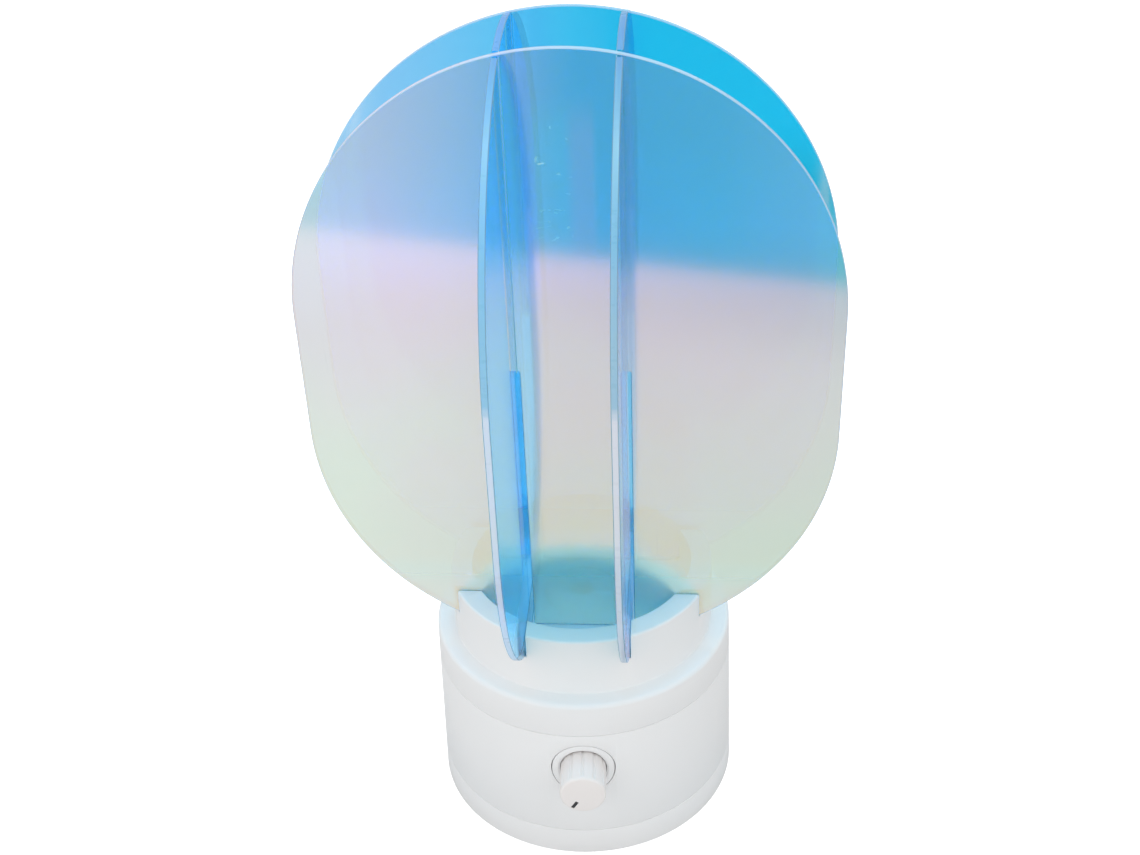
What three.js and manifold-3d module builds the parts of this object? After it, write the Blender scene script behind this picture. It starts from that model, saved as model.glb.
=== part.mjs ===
// LED night light: four acrylic panels stand crosswise in the slotted collar of a round base with a dial.
// Millimetres, +Z up. The lamp stands on Z = 0 with its axis on Z, and the dial faces -Y.
import * as THREE from "three";
import { mergeVertices } from "three/addons/utils/BufferGeometryUtils.js";
import Module from "manifold-3d";

const wasm = await Module();
wasm.setup();

// Clearances and cutting
const touchGap = 0.3; // between faces that rest on or meet each other
const slideGap = 0.35; // on each side of a panel in its slots
const boreGap = 0.3; // round a screw, a shaft or a plug-in part in its hole
const inlayGap = 0.12; // round the pointer in its groove
const overrun = 1; // how far a cutter runs past what it cuts
const joinDepth = 0.6; // how far one form runs into the form it grows from

// Roundness, as counts
const wallSides = 48;
const partSides = 18;
const screwSides = 8;
const nutSides = 6;
const roundEndSteps = 34; // along the half circle of a panel's upper end
const filletSteps = 3;
const cableSides = 8;
const cableSteps = 18;

// Light panels
const panelWidth = 160;
const panelStraight = 40; // straight stretch of each side between the two round ends
const panelThickness = 2;
const panelFootShare = 0.93125; // centre of the lower round end down to the flat foot, in the end's radius
const lapShare = 0.495; // height of the half-lap joints in the panel's own height
const frontPanelOffset = 17.3; // middle of the front and rear panels from the lamp's axis
const sidePanelOffset = 16.4; // middle of the left and right panels from the lamp's axis

// Base: outline and levels
const baseFootRadius = 51; // outside of the wall at Z = 0
const wallDraft = 1.6; // how much narrower the wall is at the shoulder than at Z = 0
const shoulderLevel = 64.3;
const wallThickness = 2.2;
const lowerSeamLevel = 10.35;
const upperSeamLevel = 51.8;
const seamGap = 0.3;
const shoulderFillet = 1.6;
const footFillet = 0.8;

// Collar and well
const shoulderWidth = 6.1; // flat ledge between the wall's outside and the collar
const collarWidth = 7.1;
const collarTopLevel = 85.4;
const collarFillet = 0.8;
const collarInnerFillet = 0.4;
const wellFloorLevel = 71.5;
const wellFloorThickness = 2;
const ledgeThickness = 2.2;
const coreWidth = 2.7; // hollow ring under the collar, as thick moulded walls have
const coreRise = 8;

// Joints between the covers and the housing
const lipThickness = 1.8;
const lipRise = 3.3;
const flangeDrop = 0.3; // top of the housing's inner flange below the upper seam
const flangeThickness = 2.2;
const flangeInset = 18; // the flange's inner edge inside the wall's foot
const topBossInset = 10;
const topBossRadius = 3.2;
const topBossAngles = [90, 210, 330];
const columnInset = 9;
const columnRadius = 3.4;
const columnAngles = [45, 135, 225, 315];
const columnRibThickness = 1.6;

// Screws
const caseScrew = { shank: 1.4, head: 2.7, headHeight: 1.5, reach: 7 };
const boardScrew = { shank: 1.1, head: 2.2, headHeight: 1.3, reach: 5 };
const ledScrew = { shank: 1.1, head: 2.1, headHeight: 1.3, reach: 4.5 };
const bracketScrew = { shank: 1, head: 2, headHeight: 1.2, reach: 1.6 };
const ballastScrew = { shank: 1.8, head: 8, headHeight: 1.8, reach: 5 };
const screwTipRoom = 0.8; // blind hole beyond a screw's tip
const driveWidthShare = 0.8; // slot in a screw's head, in the shank's width
const driveArmShare = 0.3; // width of the slot, in its length
const driveDepthShare = 0.5; // in the head's height

// Feet, bottom plate and ballast
const footProud = 0.8; // how far the feet stand out below the cover
const footRadius = 6;
const footSink = 1; // how far a foot lies in its recess
const footInset = 13;
const footAngles = [0, 90, 180, 270];
const bottomPlateThickness = 3;
const ballastInset = 22;
const ballastThickness = 8;
const ballastEdge = 0.6;
const ballastBossRadius = 5;

// Dial: distances run outward from the lamp's axis
const dialAzimuth = 2.6; // degrees to the right of straight ahead
const dialLevel = 37.6;
const knobRadius = 7.4;
const knobProud = 11.2; // knob's face beyond the wall
const knobTail = 4; // knob behind the wall's outside
const knobEdge = 0.9;
const fluteCount = 12;
const fluteRadius = 1.05;
const fluteStandoff = 0.55; // flute's centre outside the knob's own radius
const fluteStopShare = 0.12; // smooth stretch behind the knob's face, in the knob's length
const knobHoleClearance = 0.8;
const bezelRadius = 10.4;
const bezelFlangeRadius = 11.4;
const bezelFlangeThickness = 1.5;
const bezelBackset = 2.3; // front of the bezel's flange behind the wall's inside
const pointerAngle = 237; // degrees, anticlockwise from the right, seen from the front
const pointerWidth = 1.1;
const pointerDepth = 0.6;
const pointerProud = 0.1;
const pointerStartShare = 0.46; // of the knob's radius
const pointerEndShare = 0.86;
const shaftRadius = 3;
const shaftInKnob = 9.5;
const bushingRadius = 4;
const bushingBeyondNut = 1;
const nutRadius = 6.9;
const nutThickness = 2;
const nutToKnob = 1.9;
const washerRadius = 6.5;
const washerThickness = 0.6;
const potRadius = 7.5;
const potDepth = 8.5;
const potLug = { width: 9, height: 4, thickness: 1.2 };
const bracketThickness = 1.2;
const bracketWidth = 22;
const bracketDrop = 10.5; // bracket below the dial's axis
const bracketScrewSpread = 7.6;
const bracketTabInset = 1.4; // tab's end outside the flange's inner edge

// Light source, hung under the well's floor
const windowRadius = 12.5;
const lensFlangeWidth = 2.4;
const lensFlangeThickness = 1.5;
const lensRise = 0.8;
const cupRise = 4.8;
const cupThroatRadius = 5;
const cupWall = 1.2;
const ledBoardThickness = 1.6;
const ledTab = { width: 8, reach: 5 };
const emitterWidth = 6;
const emitterThickness = 0.8;
const domeRadius = 2.6;
const sinkOverlap = 10.5; // how far the sink reaches beyond the window
const sinkThickness = 2;
const finCount = 5;
const finThickness = 1.2;
const finPitch = 5;
const finDrop = 5;
const finLengthShare = 0.8; // of the sink's width
const ledBossInset = 4.1; // from the sink's edge
const ledBossAngles = [0, 180];
const ledBossRadius = 2.8;

// Control board, its parts and the inlet
const boardLevel = 17;
const boardThickness = 1.6;
const boardFrontStart = 8;
const boardFrontDepth = 12;
const boardFrontInset = 14; // the board's front corners inside the wall's foot
const boardRearInset = { side: 26.5, end: 11 };
const boardPostRadius = 3;
const boardPostInset = { side: 4.2, end: 5 };
const inletBody = { width: 9, height: 11, depth: 13, wallRoom: 1.2 };
const inletNozzleRadius = 4.1;
const inletBoreRadius = 2.8;
const inletBoreDepth = 9.5;
const inletPinRadius = 1;
const inletPinSetback = 1;
const inletRecess = 0.5; // nozzle's end behind the wall's outside
const chip = { beside: 15, ahead: 9, width: 6, depth: 5, height: 1.6 };
const inductor = { inset: 10.5, ahead: 7, radius: 5, height: 5 };
const capacitor = { inset: 8.5, ahead: 7, radius: 4, height: 11 };
const ledConnector = { inset: 17, ahead: 6, width: 8, depth: 5, height: 6 };
const dialConnector = { inset: 12, ahead: 6, width: 9, depth: 5, height: 6 };
const cableRadius = 1.1;
const cableRise = 9; // straight start of a cable above its connector

// Radii and places that follow from the sizes above
const baseShoulderRadius = baseFootRadius - wallDraft;
const collarOuterRadius = baseShoulderRadius - shoulderWidth;
const collarInnerRadius = collarOuterRadius - collarWidth;
const flangeInnerRadius = baseFootRadius - flangeInset;
const topBossCircle = baseFootRadius - topBossInset;
const columnCircle = baseFootRadius - columnInset;
const footCircle = baseFootRadius - footInset;
const ballastRadius = baseFootRadius - ballastInset;
const sinkRadius = windowRadius + sinkOverlap;
const ledBossCircle = sinkRadius - ledBossInset;
const boardFront = {
  halfWidth: baseFootRadius - boardFrontInset,
  start: boardFrontStart,
  end: boardFrontStart + boardFrontDepth,
};
const boardRear = { halfWidth: baseFootRadius - boardRearInset.side, end: baseFootRadius - boardRearInset.end };
const dialConnectorPlace = [dialConnector.inset - boardFront.halfWidth, boardFront.start + dialConnector.ahead];
const ledConnectorPlace = [boardFront.halfWidth - ledConnector.inset, boardFront.start + ledConnector.ahead];
const chipPlace = [dialConnectorPlace[0] + chip.beside, boardFront.start + chip.ahead];
const inductorPlace = [boardRear.halfWidth - inductor.inset, boardFront.end + inductor.ahead];
const capacitorPlace = [capacitor.inset - boardRear.halfWidth, boardFront.end + capacitor.ahead];

// Levels that follow from the sizes above
const coverUnderside = footProud;
const plateTop = coverUnderside + bottomPlateThickness;
const lowerCoverTop = lowerSeamLevel - seamGap / 2;
const housingFoot = lowerSeamLevel + seamGap / 2;
const housingTop = upperSeamLevel - seamGap / 2;
const topCoverFoot = upperSeamLevel + seamGap / 2;
const flangeTop = upperSeamLevel - flangeDrop;
const flangeUnderside = flangeTop - flangeThickness;
const ledgeUnderside = shoulderLevel - ledgeThickness;
const floorUnderside = wellFloorLevel - wellFloorThickness;
const panelFootLevel = wellFloorLevel + touchGap;
const panelRadius = panelWidth / 2;
const panelFootDrop = panelRadius * panelFootShare;
const panelHeight = panelFootDrop + panelStraight + panelRadius;
const lapHeight = panelHeight * lapShare;
const slotWidth = panelThickness + 2 * slideGap;
const boardTop = boardLevel + boardThickness;

const wallOutside = (level) =>
  baseFootRadius + ((baseShoulderRadius - baseFootRadius) * level) / shoulderLevel;
const wallInside = (level) => wallOutside(level) - wallThickness;
const lowerLipRadius = wallInside(lowerSeamLevel) - slideGap;
const upperLipRadius = wallInside(upperSeamLevel) - slideGap;

const dialWall = wallOutside(dialLevel);
const knobFace = dialWall + knobProud;
const knobBack = dialWall - knobTail;
const nutFace = knobBack - nutToKnob;
const nutBack = nutFace - nutThickness;
const washerBack = nutBack - touchGap - washerThickness;
const bracketFace = washerBack - touchGap;
const bracketBack = bracketFace - bracketThickness;
const potFace = bracketBack - touchGap;
const knobHoleRadius = knobRadius + knobHoleClearance;

const lensFlangeTop = floorUnderside - touchGap;
const lensFlangeUnderside = lensFlangeTop - lensFlangeThickness;
const cupTop = lensFlangeUnderside - touchGap;
const ledBoardTop = cupTop - cupRise - touchGap;
const sinkTop = ledBoardTop - ledBoardThickness - touchGap;
const sinkUnderside = sinkTop - sinkThickness;
const lensFlangeRadius = windowRadius + lensFlangeWidth;

// Finishes
const finish = (color, roughness, metalness = 0) =>
  new THREE.MeshStandardMaterial({ color, roughness, metalness });
const acrylic = finish(0x5ab4e6, 0.05);
acrylic.transparent = true;
acrylic.opacity = 0.5;
const whitePlastic = finish(0xe8e8ea, 0.55);
const blackPlastic = finish(0x1c1c1e, 0.5);
const rubber = finish(0x2a2a2c, 0.9);
const steel = finish(0xb8bbc0, 0.35, 1);
const brass = finish(0xc9a55a, 0.35, 1);
const aluminium = finish(0xc4c7cc, 0.4, 1);
const boardGreen = finish(0x1f6b45, 0.6);
const clearLens = finish(0xf2f6f8, 0.15);
const phosphor = finish(0xf0d060, 0.4);

const lamp = new THREE.Group();

const radians = (degrees) => (degrees * Math.PI) / 180;
const onCircle = (radius, degrees) => {
  const angle = radians(degrees);
  return [radius * Math.cos(angle), radius * Math.sin(angle)];
};

// Adds one named piece to a group.
function addPiece(name, geometry, material, parent = lamp) {
  const piece = new THREE.Mesh(geometry, material);
  piece.name = name;
  parent.add(piece);
  return piece;
}

// A closed geometry as a solid that can be joined and cut.
function solidOf(geometry) {
  const bare = geometry.clone();
  bare.deleteAttribute("normal");
  bare.deleteAttribute("uv");
  const merged = mergeVertices(bare);
  return new wasm.Manifold(
    new wasm.Mesh({
      numProp: 3,
      vertProperties: merged.attributes.position.array,
      triVerts: new Uint32Array(merged.index.array),
    }),
  );
}

function geometryOf(solid) {
  const { vertProperties, triVerts } = solid.getMesh();
  const geometry = new THREE.BufferGeometry();
  geometry.setAttribute("position", new THREE.BufferAttribute(vertProperties, 3));
  geometry.setIndex(new THREE.BufferAttribute(triVerts, 1));
  geometry.computeVertexNormals();
  return geometry;
}

const joined = (...forms) => geometryOf(forms.map(solidOf).reduce((a, b) => a.add(b)));
const cutBy = (form, ...tools) =>
  geometryOf(tools.map(solidOf).reduce((left, tool) => left.subtract(tool), solidOf(form)));
const sharedBy = (a, b) => geometryOf(solidOf(a).intersect(solidOf(b)));

// A solid of revolution about Z from [radius, level] points, anticlockwise with the radius to the right.
function turned(points, sides) {
  const outline = points.map(([radius, level]) => new THREE.Vector2(radius, level));
  return new THREE.LatheGeometry(outline, sides).rotateX(Math.PI / 2);
}

const closed = (points) => [...points, points[0]];

function ring(inner, outer, bottom, top, sides = partSides) {
  return turned(closed([[inner, bottom], [outer, bottom], [outer, top], [inner, top]]), sides);
}

function rod(radius, bottom, top, sides = partSides) {
  return new THREE.CylinderGeometry(radius, radius, top - bottom, sides)
    .rotateX(Math.PI / 2)
    .translate(0, 0, (bottom + top) / 2);
}

function rodAt([x, y], radius, bottom, top, sides = partSides) {
  return rod(radius, bottom, top, sides).translate(x, y, 0);
}

function block([x0, x1], [y0, y1], [z0, z1]) {
  const box = new THREE.BoxGeometry(x1 - x0, y1 - y0, z1 - z0);
  return box.translate((x0 + x1) / 2, (y0 + y1) / 2, (z0 + z1) / 2);
}

// Points of an arc about a centre, from one angle to the next in degrees.
function arc([x, y], radius, from, to, steps = filletSteps) {
  return Array.from({ length: steps + 1 }, (_, i) => {
    const [dx, dy] = onCircle(radius, from + ((to - from) * i) / steps);
    return [x + dx, y + dy];
  });
}

// Screws: the head lies below z = 0 and the shank points up.
function screwForm({ shank, head, headHeight, reach }, clamped) {
  const tip = clamped + reach;
  const under = -headHeight;
  const outline = [[0, under], [head, under], [head, 0], [shank, 0], [shank, tip - shank], [0, tip]];
  const arm = shank * driveWidthShare;
  const halfArm = arm * driveArmShare;
  const slot = block([-arm, arm], [-halfArm, halfArm], [under - overrun, under * (1 - driveDepthShare)]);
  return cutBy(turned(outline, screwSides), slot);
}

// Blind hole for a screw whose tip rises to the given level.
const pilotHole = (screw, place, mouth, tip) =>
  rodAt(place, screw.shank + boreGap / 2, mouth - overrun, tip + screwTipRoom, screwSides);

// Panels

// A panel's outline with its foot on y = 0, grown all round; its foot sinks by footGrow.
function panelShape(grow, footGrow) {
  const radius = panelRadius + grow;
  const drop = panelFootDrop + footGrow;
  const footAngle = THREE.MathUtils.radToDeg(Math.asin(-drop / radius));
  const cornerSteps = Math.round((roundEndSteps * -footAngle) / 180);
  const lower = [0, panelFootDrop];
  const upper = [0, panelFootDrop + panelStraight];
  const outline = [
    ...arc(lower, radius, footAngle, 0, cornerSteps),
    ...arc(upper, radius, 0, 180, roundEndSteps),
    ...arc(lower, radius, 180, 180 - footAngle, cornerSteps),
  ];
  return new THREE.Shape(outline.map(([x, y]) => new THREE.Vector2(x, y)));
}

function panelPlate(grow, footGrow, thickness) {
  return new THREE.ExtrudeGeometry(panelShape(grow, footGrow), {
    depth: thickness,
    bevelEnabled: false,
  }).translate(0, 0, -thickness / 2);
}

// A panel with two half-lap slots, open at the foot or at the top.
function slottedPanel(slotOffset, openAtTop) {
  const slots = [-slotOffset, slotOffset].map((x) =>
    block(
      [x - slotWidth / 2, x + slotWidth / 2],
      openAtTop ? [lapHeight - touchGap / 2, panelHeight + overrun] : [-overrun, lapHeight + touchGap / 2],
      [-panelThickness, panelThickness],
    ),
  );
  return cutBy(panelPlate(0, 0, panelThickness), ...slots);
}

// Stands a flat piece up, across the lamp or along it, with its middle at an offset from the axis.
function standAcross(piece, offset) {
  piece.rotation.x = Math.PI / 2;
  piece.position.set(0, offset, panelFootLevel);
}

function standAlong(piece, offset) {
  piece.rotation.set(Math.PI / 2, Math.PI / 2, 0, "XYZ");
  piece.position.set(offset, 0, panelFootLevel);
}

function addPanels() {
  const across = slottedPanel(sidePanelOffset, false);
  const along = slottedPanel(frontPanelOffset, true);
  standAcross(addPiece("front_panel", across, acrylic), -frontPanelOffset);
  standAcross(addPiece("rear_panel", across, acrylic), frontPanelOffset);
  standAlong(addPiece("left_panel", along, acrylic), -sidePanelOffset);
  standAlong(addPiece("right_panel", along, acrylic), sidePanelOffset);
}

// Cutters for the collar's eight slots, in the panels' own outline.
function collarSlots() {
  const cutter = () => panelPlate(slideGap, touchGap / 2, slotWidth).rotateX(Math.PI / 2);
  return [
    cutter().translate(0, -frontPanelOffset, panelFootLevel),
    cutter().translate(0, frontPanelOffset, panelFootLevel),
    cutter().rotateZ(Math.PI / 2).translate(-sidePanelOffset, 0, panelFootLevel),
    cutter().rotateZ(Math.PI / 2).translate(sidePanelOffset, 0, panelFootLevel),
  ];
}

// Base

function topCoverRing() {
  const coreMiddle = (collarInnerRadius + collarOuterRadius) / 2;
  const coreInner = coreMiddle - coreWidth / 2;
  const coreOuter = coreMiddle + coreWidth / 2;
  const coreTop = ledgeUnderside + coreRise;
  const shoulderCentre = [baseShoulderRadius - shoulderFillet, shoulderLevel - shoulderFillet];
  const collarCentre = [collarOuterRadius - collarFillet, collarTopLevel - collarFillet];
  const innerCentre = [collarInnerRadius + collarInnerFillet, collarTopLevel - collarInnerFillet];
  return turned(
    closed([
      [windowRadius, floorUnderside],
      [collarInnerRadius, floorUnderside],
      [collarInnerRadius, ledgeUnderside],
      [coreInner, ledgeUnderside],
      [coreInner, coreTop],
      [coreOuter, coreTop],
      [coreOuter, ledgeUnderside],
      [wallInside(shoulderLevel), ledgeUnderside],
      [wallInside(topCoverFoot), topCoverFoot],
      [wallOutside(topCoverFoot), topCoverFoot],
      ...arc(shoulderCentre, shoulderFillet, 0, 90),
      [collarOuterRadius, shoulderLevel],
      ...arc(collarCentre, collarFillet, 0, 90),
      ...arc(innerCentre, collarInnerFillet, 90, 180),
      [collarInnerRadius, wellFloorLevel],
      [windowRadius, wellFloorLevel],
    ]),
    wallSides,
  );
}

function addTopCover() {
  const bossFoot = flangeTop + touchGap;
  const tip = flangeUnderside - touchGap + flangeThickness + caseScrew.reach;
  const places = topBossAngles.map((angle) => onCircle(topBossCircle, angle));
  const bosses = places.map((place) => rodAt(place, topBossRadius, bossFoot, ledgeUnderside + joinDepth));
  const pilots = places.map((place) => pilotHole(caseScrew, place, bossFoot, tip));
  const ledPlaces = ledBossAngles.map((angle) => onCircle(ledBossCircle, angle));
  const ledBossFoot = sinkTop + touchGap;
  const ledTip = sinkUnderside - touchGap + sinkThickness + ledScrew.reach;
  const ledBossTop = floorUnderside + joinDepth;
  const ledBosses = ledPlaces.map((place) => rodAt(place, ledBossRadius, ledBossFoot, ledBossTop));
  const ledPilots = ledPlaces.map((place) => pilotHole(ledScrew, place, ledBossFoot, ledTip));
  const moulding = joined(topCoverRing(), ...bosses, ...ledBosses);
  addPiece("top_cover", cutBy(moulding, ...collarSlots(), ...pilots, ...ledPilots), whitePlastic);
}

function housingRing() {
  return turned(
    closed([
      [flangeInnerRadius, flangeUnderside],
      [wallInside(flangeUnderside), flangeUnderside],
      [wallInside(housingFoot), housingFoot],
      [wallOutside(housingFoot), housingFoot],
      [wallOutside(housingTop), housingTop],
      [upperLipRadius, housingTop],
      [upperLipRadius, upperSeamLevel + lipRise],
      [upperLipRadius - lipThickness, upperSeamLevel + lipRise],
      [upperLipRadius - lipThickness, flangeTop],
      [flangeInnerRadius, flangeTop],
    ]),
    wallSides,
  );
}

// A column for a cover screw, tied to the wall by a rib.
function housingColumn(angle) {
  const foot = plateTop + touchGap;
  const top = flangeUnderside + joinDepth;
  const ribFoot = lowerSeamLevel + lipRise + touchGap;
  const column = rodAt([columnCircle, 0], columnRadius, foot, top);
  const ribEnd = wallInside(ribFoot) - touchGap;
  const halfRib = columnRibThickness / 2;
  const rib = block([columnCircle, ribEnd + joinDepth], [-halfRib, halfRib], [ribFoot, top]);
  return joined(column, rib).rotateZ(radians(angle));
}

// The dial's own frame: x to the right, y up and z outward, seen from the front.
const dialFrame = new THREE.Matrix4()
  .makeRotationZ(radians(dialAzimuth))
  .multiply(new THREE.Matrix4().makeTranslation(0, 0, dialLevel))
  .multiply(new THREE.Matrix4().makeRotationX(Math.PI / 2));
const bracketScrewPlaces = [-bracketScrewSpread, bracketScrewSpread];
const bracketTabEnd = flangeInnerRadius + bracketTabInset;
const bracketTabMiddle = (bracketTabEnd + bracketBack) / 2;

// Places on the floor plan that turn with the dial.
const besideDial = (x, outward) =>
  new THREE.Vector3(x, -outward, 0).applyAxisAngle(new THREE.Vector3(0, 0, 1), radians(dialAzimuth)).toArray();

const inletLevel = boardTop + touchGap + inletBody.height / 2;
const inletFace = wallInside(inletLevel) - inletBody.wallRoom;

function addHousing() {
  const columns = columnAngles.map(housingColumn);
  const columnPilots = columnAngles.map((angle) =>
    pilotHole(caseScrew, onCircle(columnCircle, angle), plateTop + touchGap, plateTop + caseScrew.reach),
  );
  const screwHoles = topBossAngles.map((angle) =>
    rodAt(
      onCircle(topBossCircle, angle),
      caseScrew.shank + boreGap,
      flangeUnderside - overrun,
      flangeTop + overrun,
      screwSides,
    ),
  );
  const bracketHoles = bracketScrewPlaces.map((x) =>
    rodAt(
      besideDial(x, bracketTabMiddle),
      bracketScrew.shank + boreGap,
      flangeUnderside - overrun,
      flangeTop + overrun,
      screwSides,
    ),
  );
  const dialHole = rod(bezelRadius + touchGap, bracketFace, knobFace).applyMatrix4(dialFrame);
  const inletHole = rod(inletNozzleRadius + boreGap, inletFace, baseFootRadius + overrun)
    .rotateX(-Math.PI / 2)
    .translate(0, 0, inletLevel);
  const shell = joined(housingRing(), ...columns);
  const cutters = [...columnPilots, ...screwHoles, ...bracketHoles, dialHole, inletHole];
  addPiece("base_housing", cutBy(shell, ...cutters), whitePlastic);
}

const boardPostPlaces = [-1, 1].flatMap((side) => [
  [side * (boardFront.halfWidth - boardPostInset.side), boardFront.start + boardPostInset.end],
  [side * (boardRear.halfWidth - boardPostInset.side), boardRear.end - boardPostInset.end],
]);

function bottomCoverPan() {
  const edge = [wallOutside(coverUnderside) - footFillet, coverUnderside + footFillet];
  return turned(
    [
      [0, coverUnderside],
      ...arc(edge, footFillet, -90, 0),
      [wallOutside(lowerCoverTop), lowerCoverTop],
      [lowerLipRadius, lowerCoverTop],
      [lowerLipRadius, lowerSeamLevel + lipRise],
      [lowerLipRadius - lipThickness, lowerSeamLevel + lipRise],
      [lowerLipRadius - lipThickness, plateTop],
      [0, plateTop],
    ],
    wallSides,
  );
}

function addBottomCover() {
  const postTop = boardLevel - touchGap;
  const bossTop = plateTop + touchGap + ballastThickness - touchGap;
  const posts = boardPostPlaces.map((place) => rodAt(place, boardPostRadius, plateTop - joinDepth, postTop));
  const boss = rod(ballastBossRadius, plateTop - joinDepth, bossTop);
  const pilotFloor = postTop - boardScrew.reach - screwTipRoom;
  const postPilots = boardPostPlaces.map((place) =>
    rodAt(place, boardScrew.shank + boreGap / 2, pilotFloor, postTop + overrun, screwSides),
  );
  const bossPilot = rod(
    ballastScrew.shank + boreGap / 2,
    bossTop - ballastScrew.reach - screwTipRoom,
    bossTop + overrun,
    screwSides,
  );
  const recesses = footAngles.map((angle) =>
    rodAt(onCircle(footCircle, angle), footRadius + boreGap, -overrun, coverUnderside + footSink + touchGap),
  );
  const headSeat = coverUnderside + caseScrew.headHeight + touchGap;
  const screwHoles = columnAngles.flatMap((angle) => {
    const place = onCircle(columnCircle, angle);
    return [
      rodAt(place, caseScrew.shank + boreGap, -overrun, plateTop + overrun, screwSides),
      rodAt(place, caseScrew.head + boreGap, -overrun, headSeat),
    ];
  });
  const pan = joined(bottomCoverPan(), ...posts, boss);
  addPiece("bottom_cover", cutBy(pan, ...postPilots, bossPilot, ...recesses, ...screwHoles), whitePlastic);
}

function addFeet() {
  footAngles.forEach((angle, i) => {
    const foot = addPiece(`foot_${i + 1}`, rod(footRadius, 0, footProud + footSink), rubber);
    foot.position.set(...onCircle(footCircle, angle), 0);
  });
}

function addBallast() {
  const bottom = plateTop + touchGap;
  const top = bottom + ballastThickness;
  const hole = ballastBossRadius + boreGap;
  const outline = closed([
    [hole, bottom],
    [ballastRadius - ballastEdge, bottom],
    [ballastRadius, bottom + ballastEdge],
    [ballastRadius, top - ballastEdge],
    [ballastRadius - ballastEdge, top],
    [hole, top],
  ]);
  addPiece("ballast_weight", turned(outline, 2 * partSides), steel);
  const bossClearance = 2 * touchGap;
  const screw = addPiece("ballast_screw", screwForm(ballastScrew, bossClearance), steel);
  screw.rotation.x = Math.PI;
  screw.position.z = top + touchGap;
}

// Fastens the covers from below: four screws into the columns and three into the top cover's bosses.
function addCoverScrews() {
  const seat = coverUnderside + caseScrew.headHeight;
  const bottomForm = screwForm(caseScrew, plateTop - seat);
  columnAngles.forEach((angle, i) => {
    const screw = addPiece(`bottom_screw_${i + 1}`, bottomForm, steel);
    screw.position.set(...onCircle(columnCircle, angle), seat);
  });
  const topForm = screwForm(caseScrew, flangeThickness);
  topBossAngles.forEach((angle, i) => {
    const screw = addPiece(`top_screw_${i + 1}`, topForm, steel);
    screw.position.set(...onCircle(topBossCircle, angle), flangeUnderside - touchGap);
  });
}

// Light source

function lensOutline() {
  const radius = windowRadius - boreGap;
  const crown = Array.from({ length: filletSteps + 1 }, (_, i) => {
    const share = i / filletSteps;
    return [radius * (1 - share), wellFloorLevel + lensRise * (1 - (1 - share) ** 2)];
  });
  return [
    [0, lensFlangeUnderside],
    [lensFlangeRadius, lensFlangeUnderside],
    [lensFlangeRadius, lensFlangeTop],
    [radius, lensFlangeTop],
    ...crown,
  ];
}

function addLightSource() {
  addPiece("led_lens", turned(lensOutline(), partSides), clearLens);
  const cupFoot = ledBoardTop + touchGap;
  const cupOutline = closed([
    [cupThroatRadius, cupFoot],
    [lensFlangeRadius - cupWall, cupFoot],
    [lensFlangeRadius, cupTop],
    [lensFlangeRadius - cupWall, cupTop],
    [cupThroatRadius, cupFoot + cupWall],
  ]);
  addPiece("reflector_cup", turned(cupOutline, partSides), whitePlastic);
  const boardFoot = ledBoardTop - ledBoardThickness;
  const tab = block(
    [-ledTab.width / 2, ledTab.width / 2],
    [0, lensFlangeRadius + ledTab.reach],
    [boardFoot, ledBoardTop],
  );
  addPiece("led_board", joined(rod(lensFlangeRadius, boardFoot, ledBoardTop), tab), aluminium);
  const emitterFoot = ledBoardTop + touchGap;
  const half = emitterWidth / 2;
  const emitterTop = emitterFoot + emitterThickness;
  addPiece("led_emitter", block([-half, half], [-half, half], [emitterFoot, emitterTop]), phosphor);
  const domeFoot = emitterTop + touchGap;
  const domeOutline = [[0, 0], ...arc([0, 0], domeRadius, 0, 90)];
  addPiece("led_dome", turned(domeOutline, partSides), clearLens).position.z = domeFoot;
}

function addHeatSink() {
  const halfFin = finThickness / 2;
  const halfLength = sinkRadius * finLengthShare;
  const finLevels = [sinkUnderside - finDrop, sinkUnderside + joinDepth];
  const fins = Array.from({ length: finCount }, (_, i) => {
    const x = (i - (finCount - 1) / 2) * finPitch;
    return block([x - halfFin, x + halfFin], [-halfLength, halfLength], finLevels);
  });
  const places = ledBossAngles.map((angle) => onCircle(ledBossCircle, angle));
  const holes = places.map((place) =>
    rodAt(place, ledScrew.shank + boreGap, sinkUnderside - overrun, sinkTop + overrun, screwSides),
  );
  const plate = joined(rod(sinkRadius, sinkUnderside, sinkTop, wallSides / 2), ...fins);
  addPiece("heat_sink", cutBy(plate, ...holes), aluminium);
  const form = screwForm(ledScrew, sinkThickness);
  places.forEach((place, i) => {
    const screw = addPiece(`heat_sink_screw_${i + 1}`, form, steel);
    screw.position.set(...place, sinkUnderside - touchGap);
  });
}

// Dial

// The knob along z: its tail lies in the housing and its face looks outward.
function knobForm() {
  const length = knobFace - knobBack;
  const fluteEnd = knobFace - length * fluteStopShare;
  const body = turned(
    [
      [0, knobBack],
      [knobRadius, knobBack],
      ...arc([knobRadius - knobEdge, knobFace - knobEdge], knobEdge, 0, 90),
      [0, knobFace],
    ],
    2 * partSides,
  );
  const flutes = Array.from({ length: fluteCount }, (_, i) =>
    rodAt(
      onCircle(knobRadius + fluteStandoff, (360 * (i + 1 / 2)) / fluteCount),
      fluteRadius,
      knobBack - overrun,
      fluteEnd,
      screwSides,
    ),
  );
  const bore = rod(shaftRadius + boreGap / 2, knobBack - overrun, knobBack + shaftInKnob + touchGap);
  const groove = pointerBar(inlayGap).translate(0, 0, knobFace);
  return cutBy(body, ...flutes, bore, groove);
}

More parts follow.
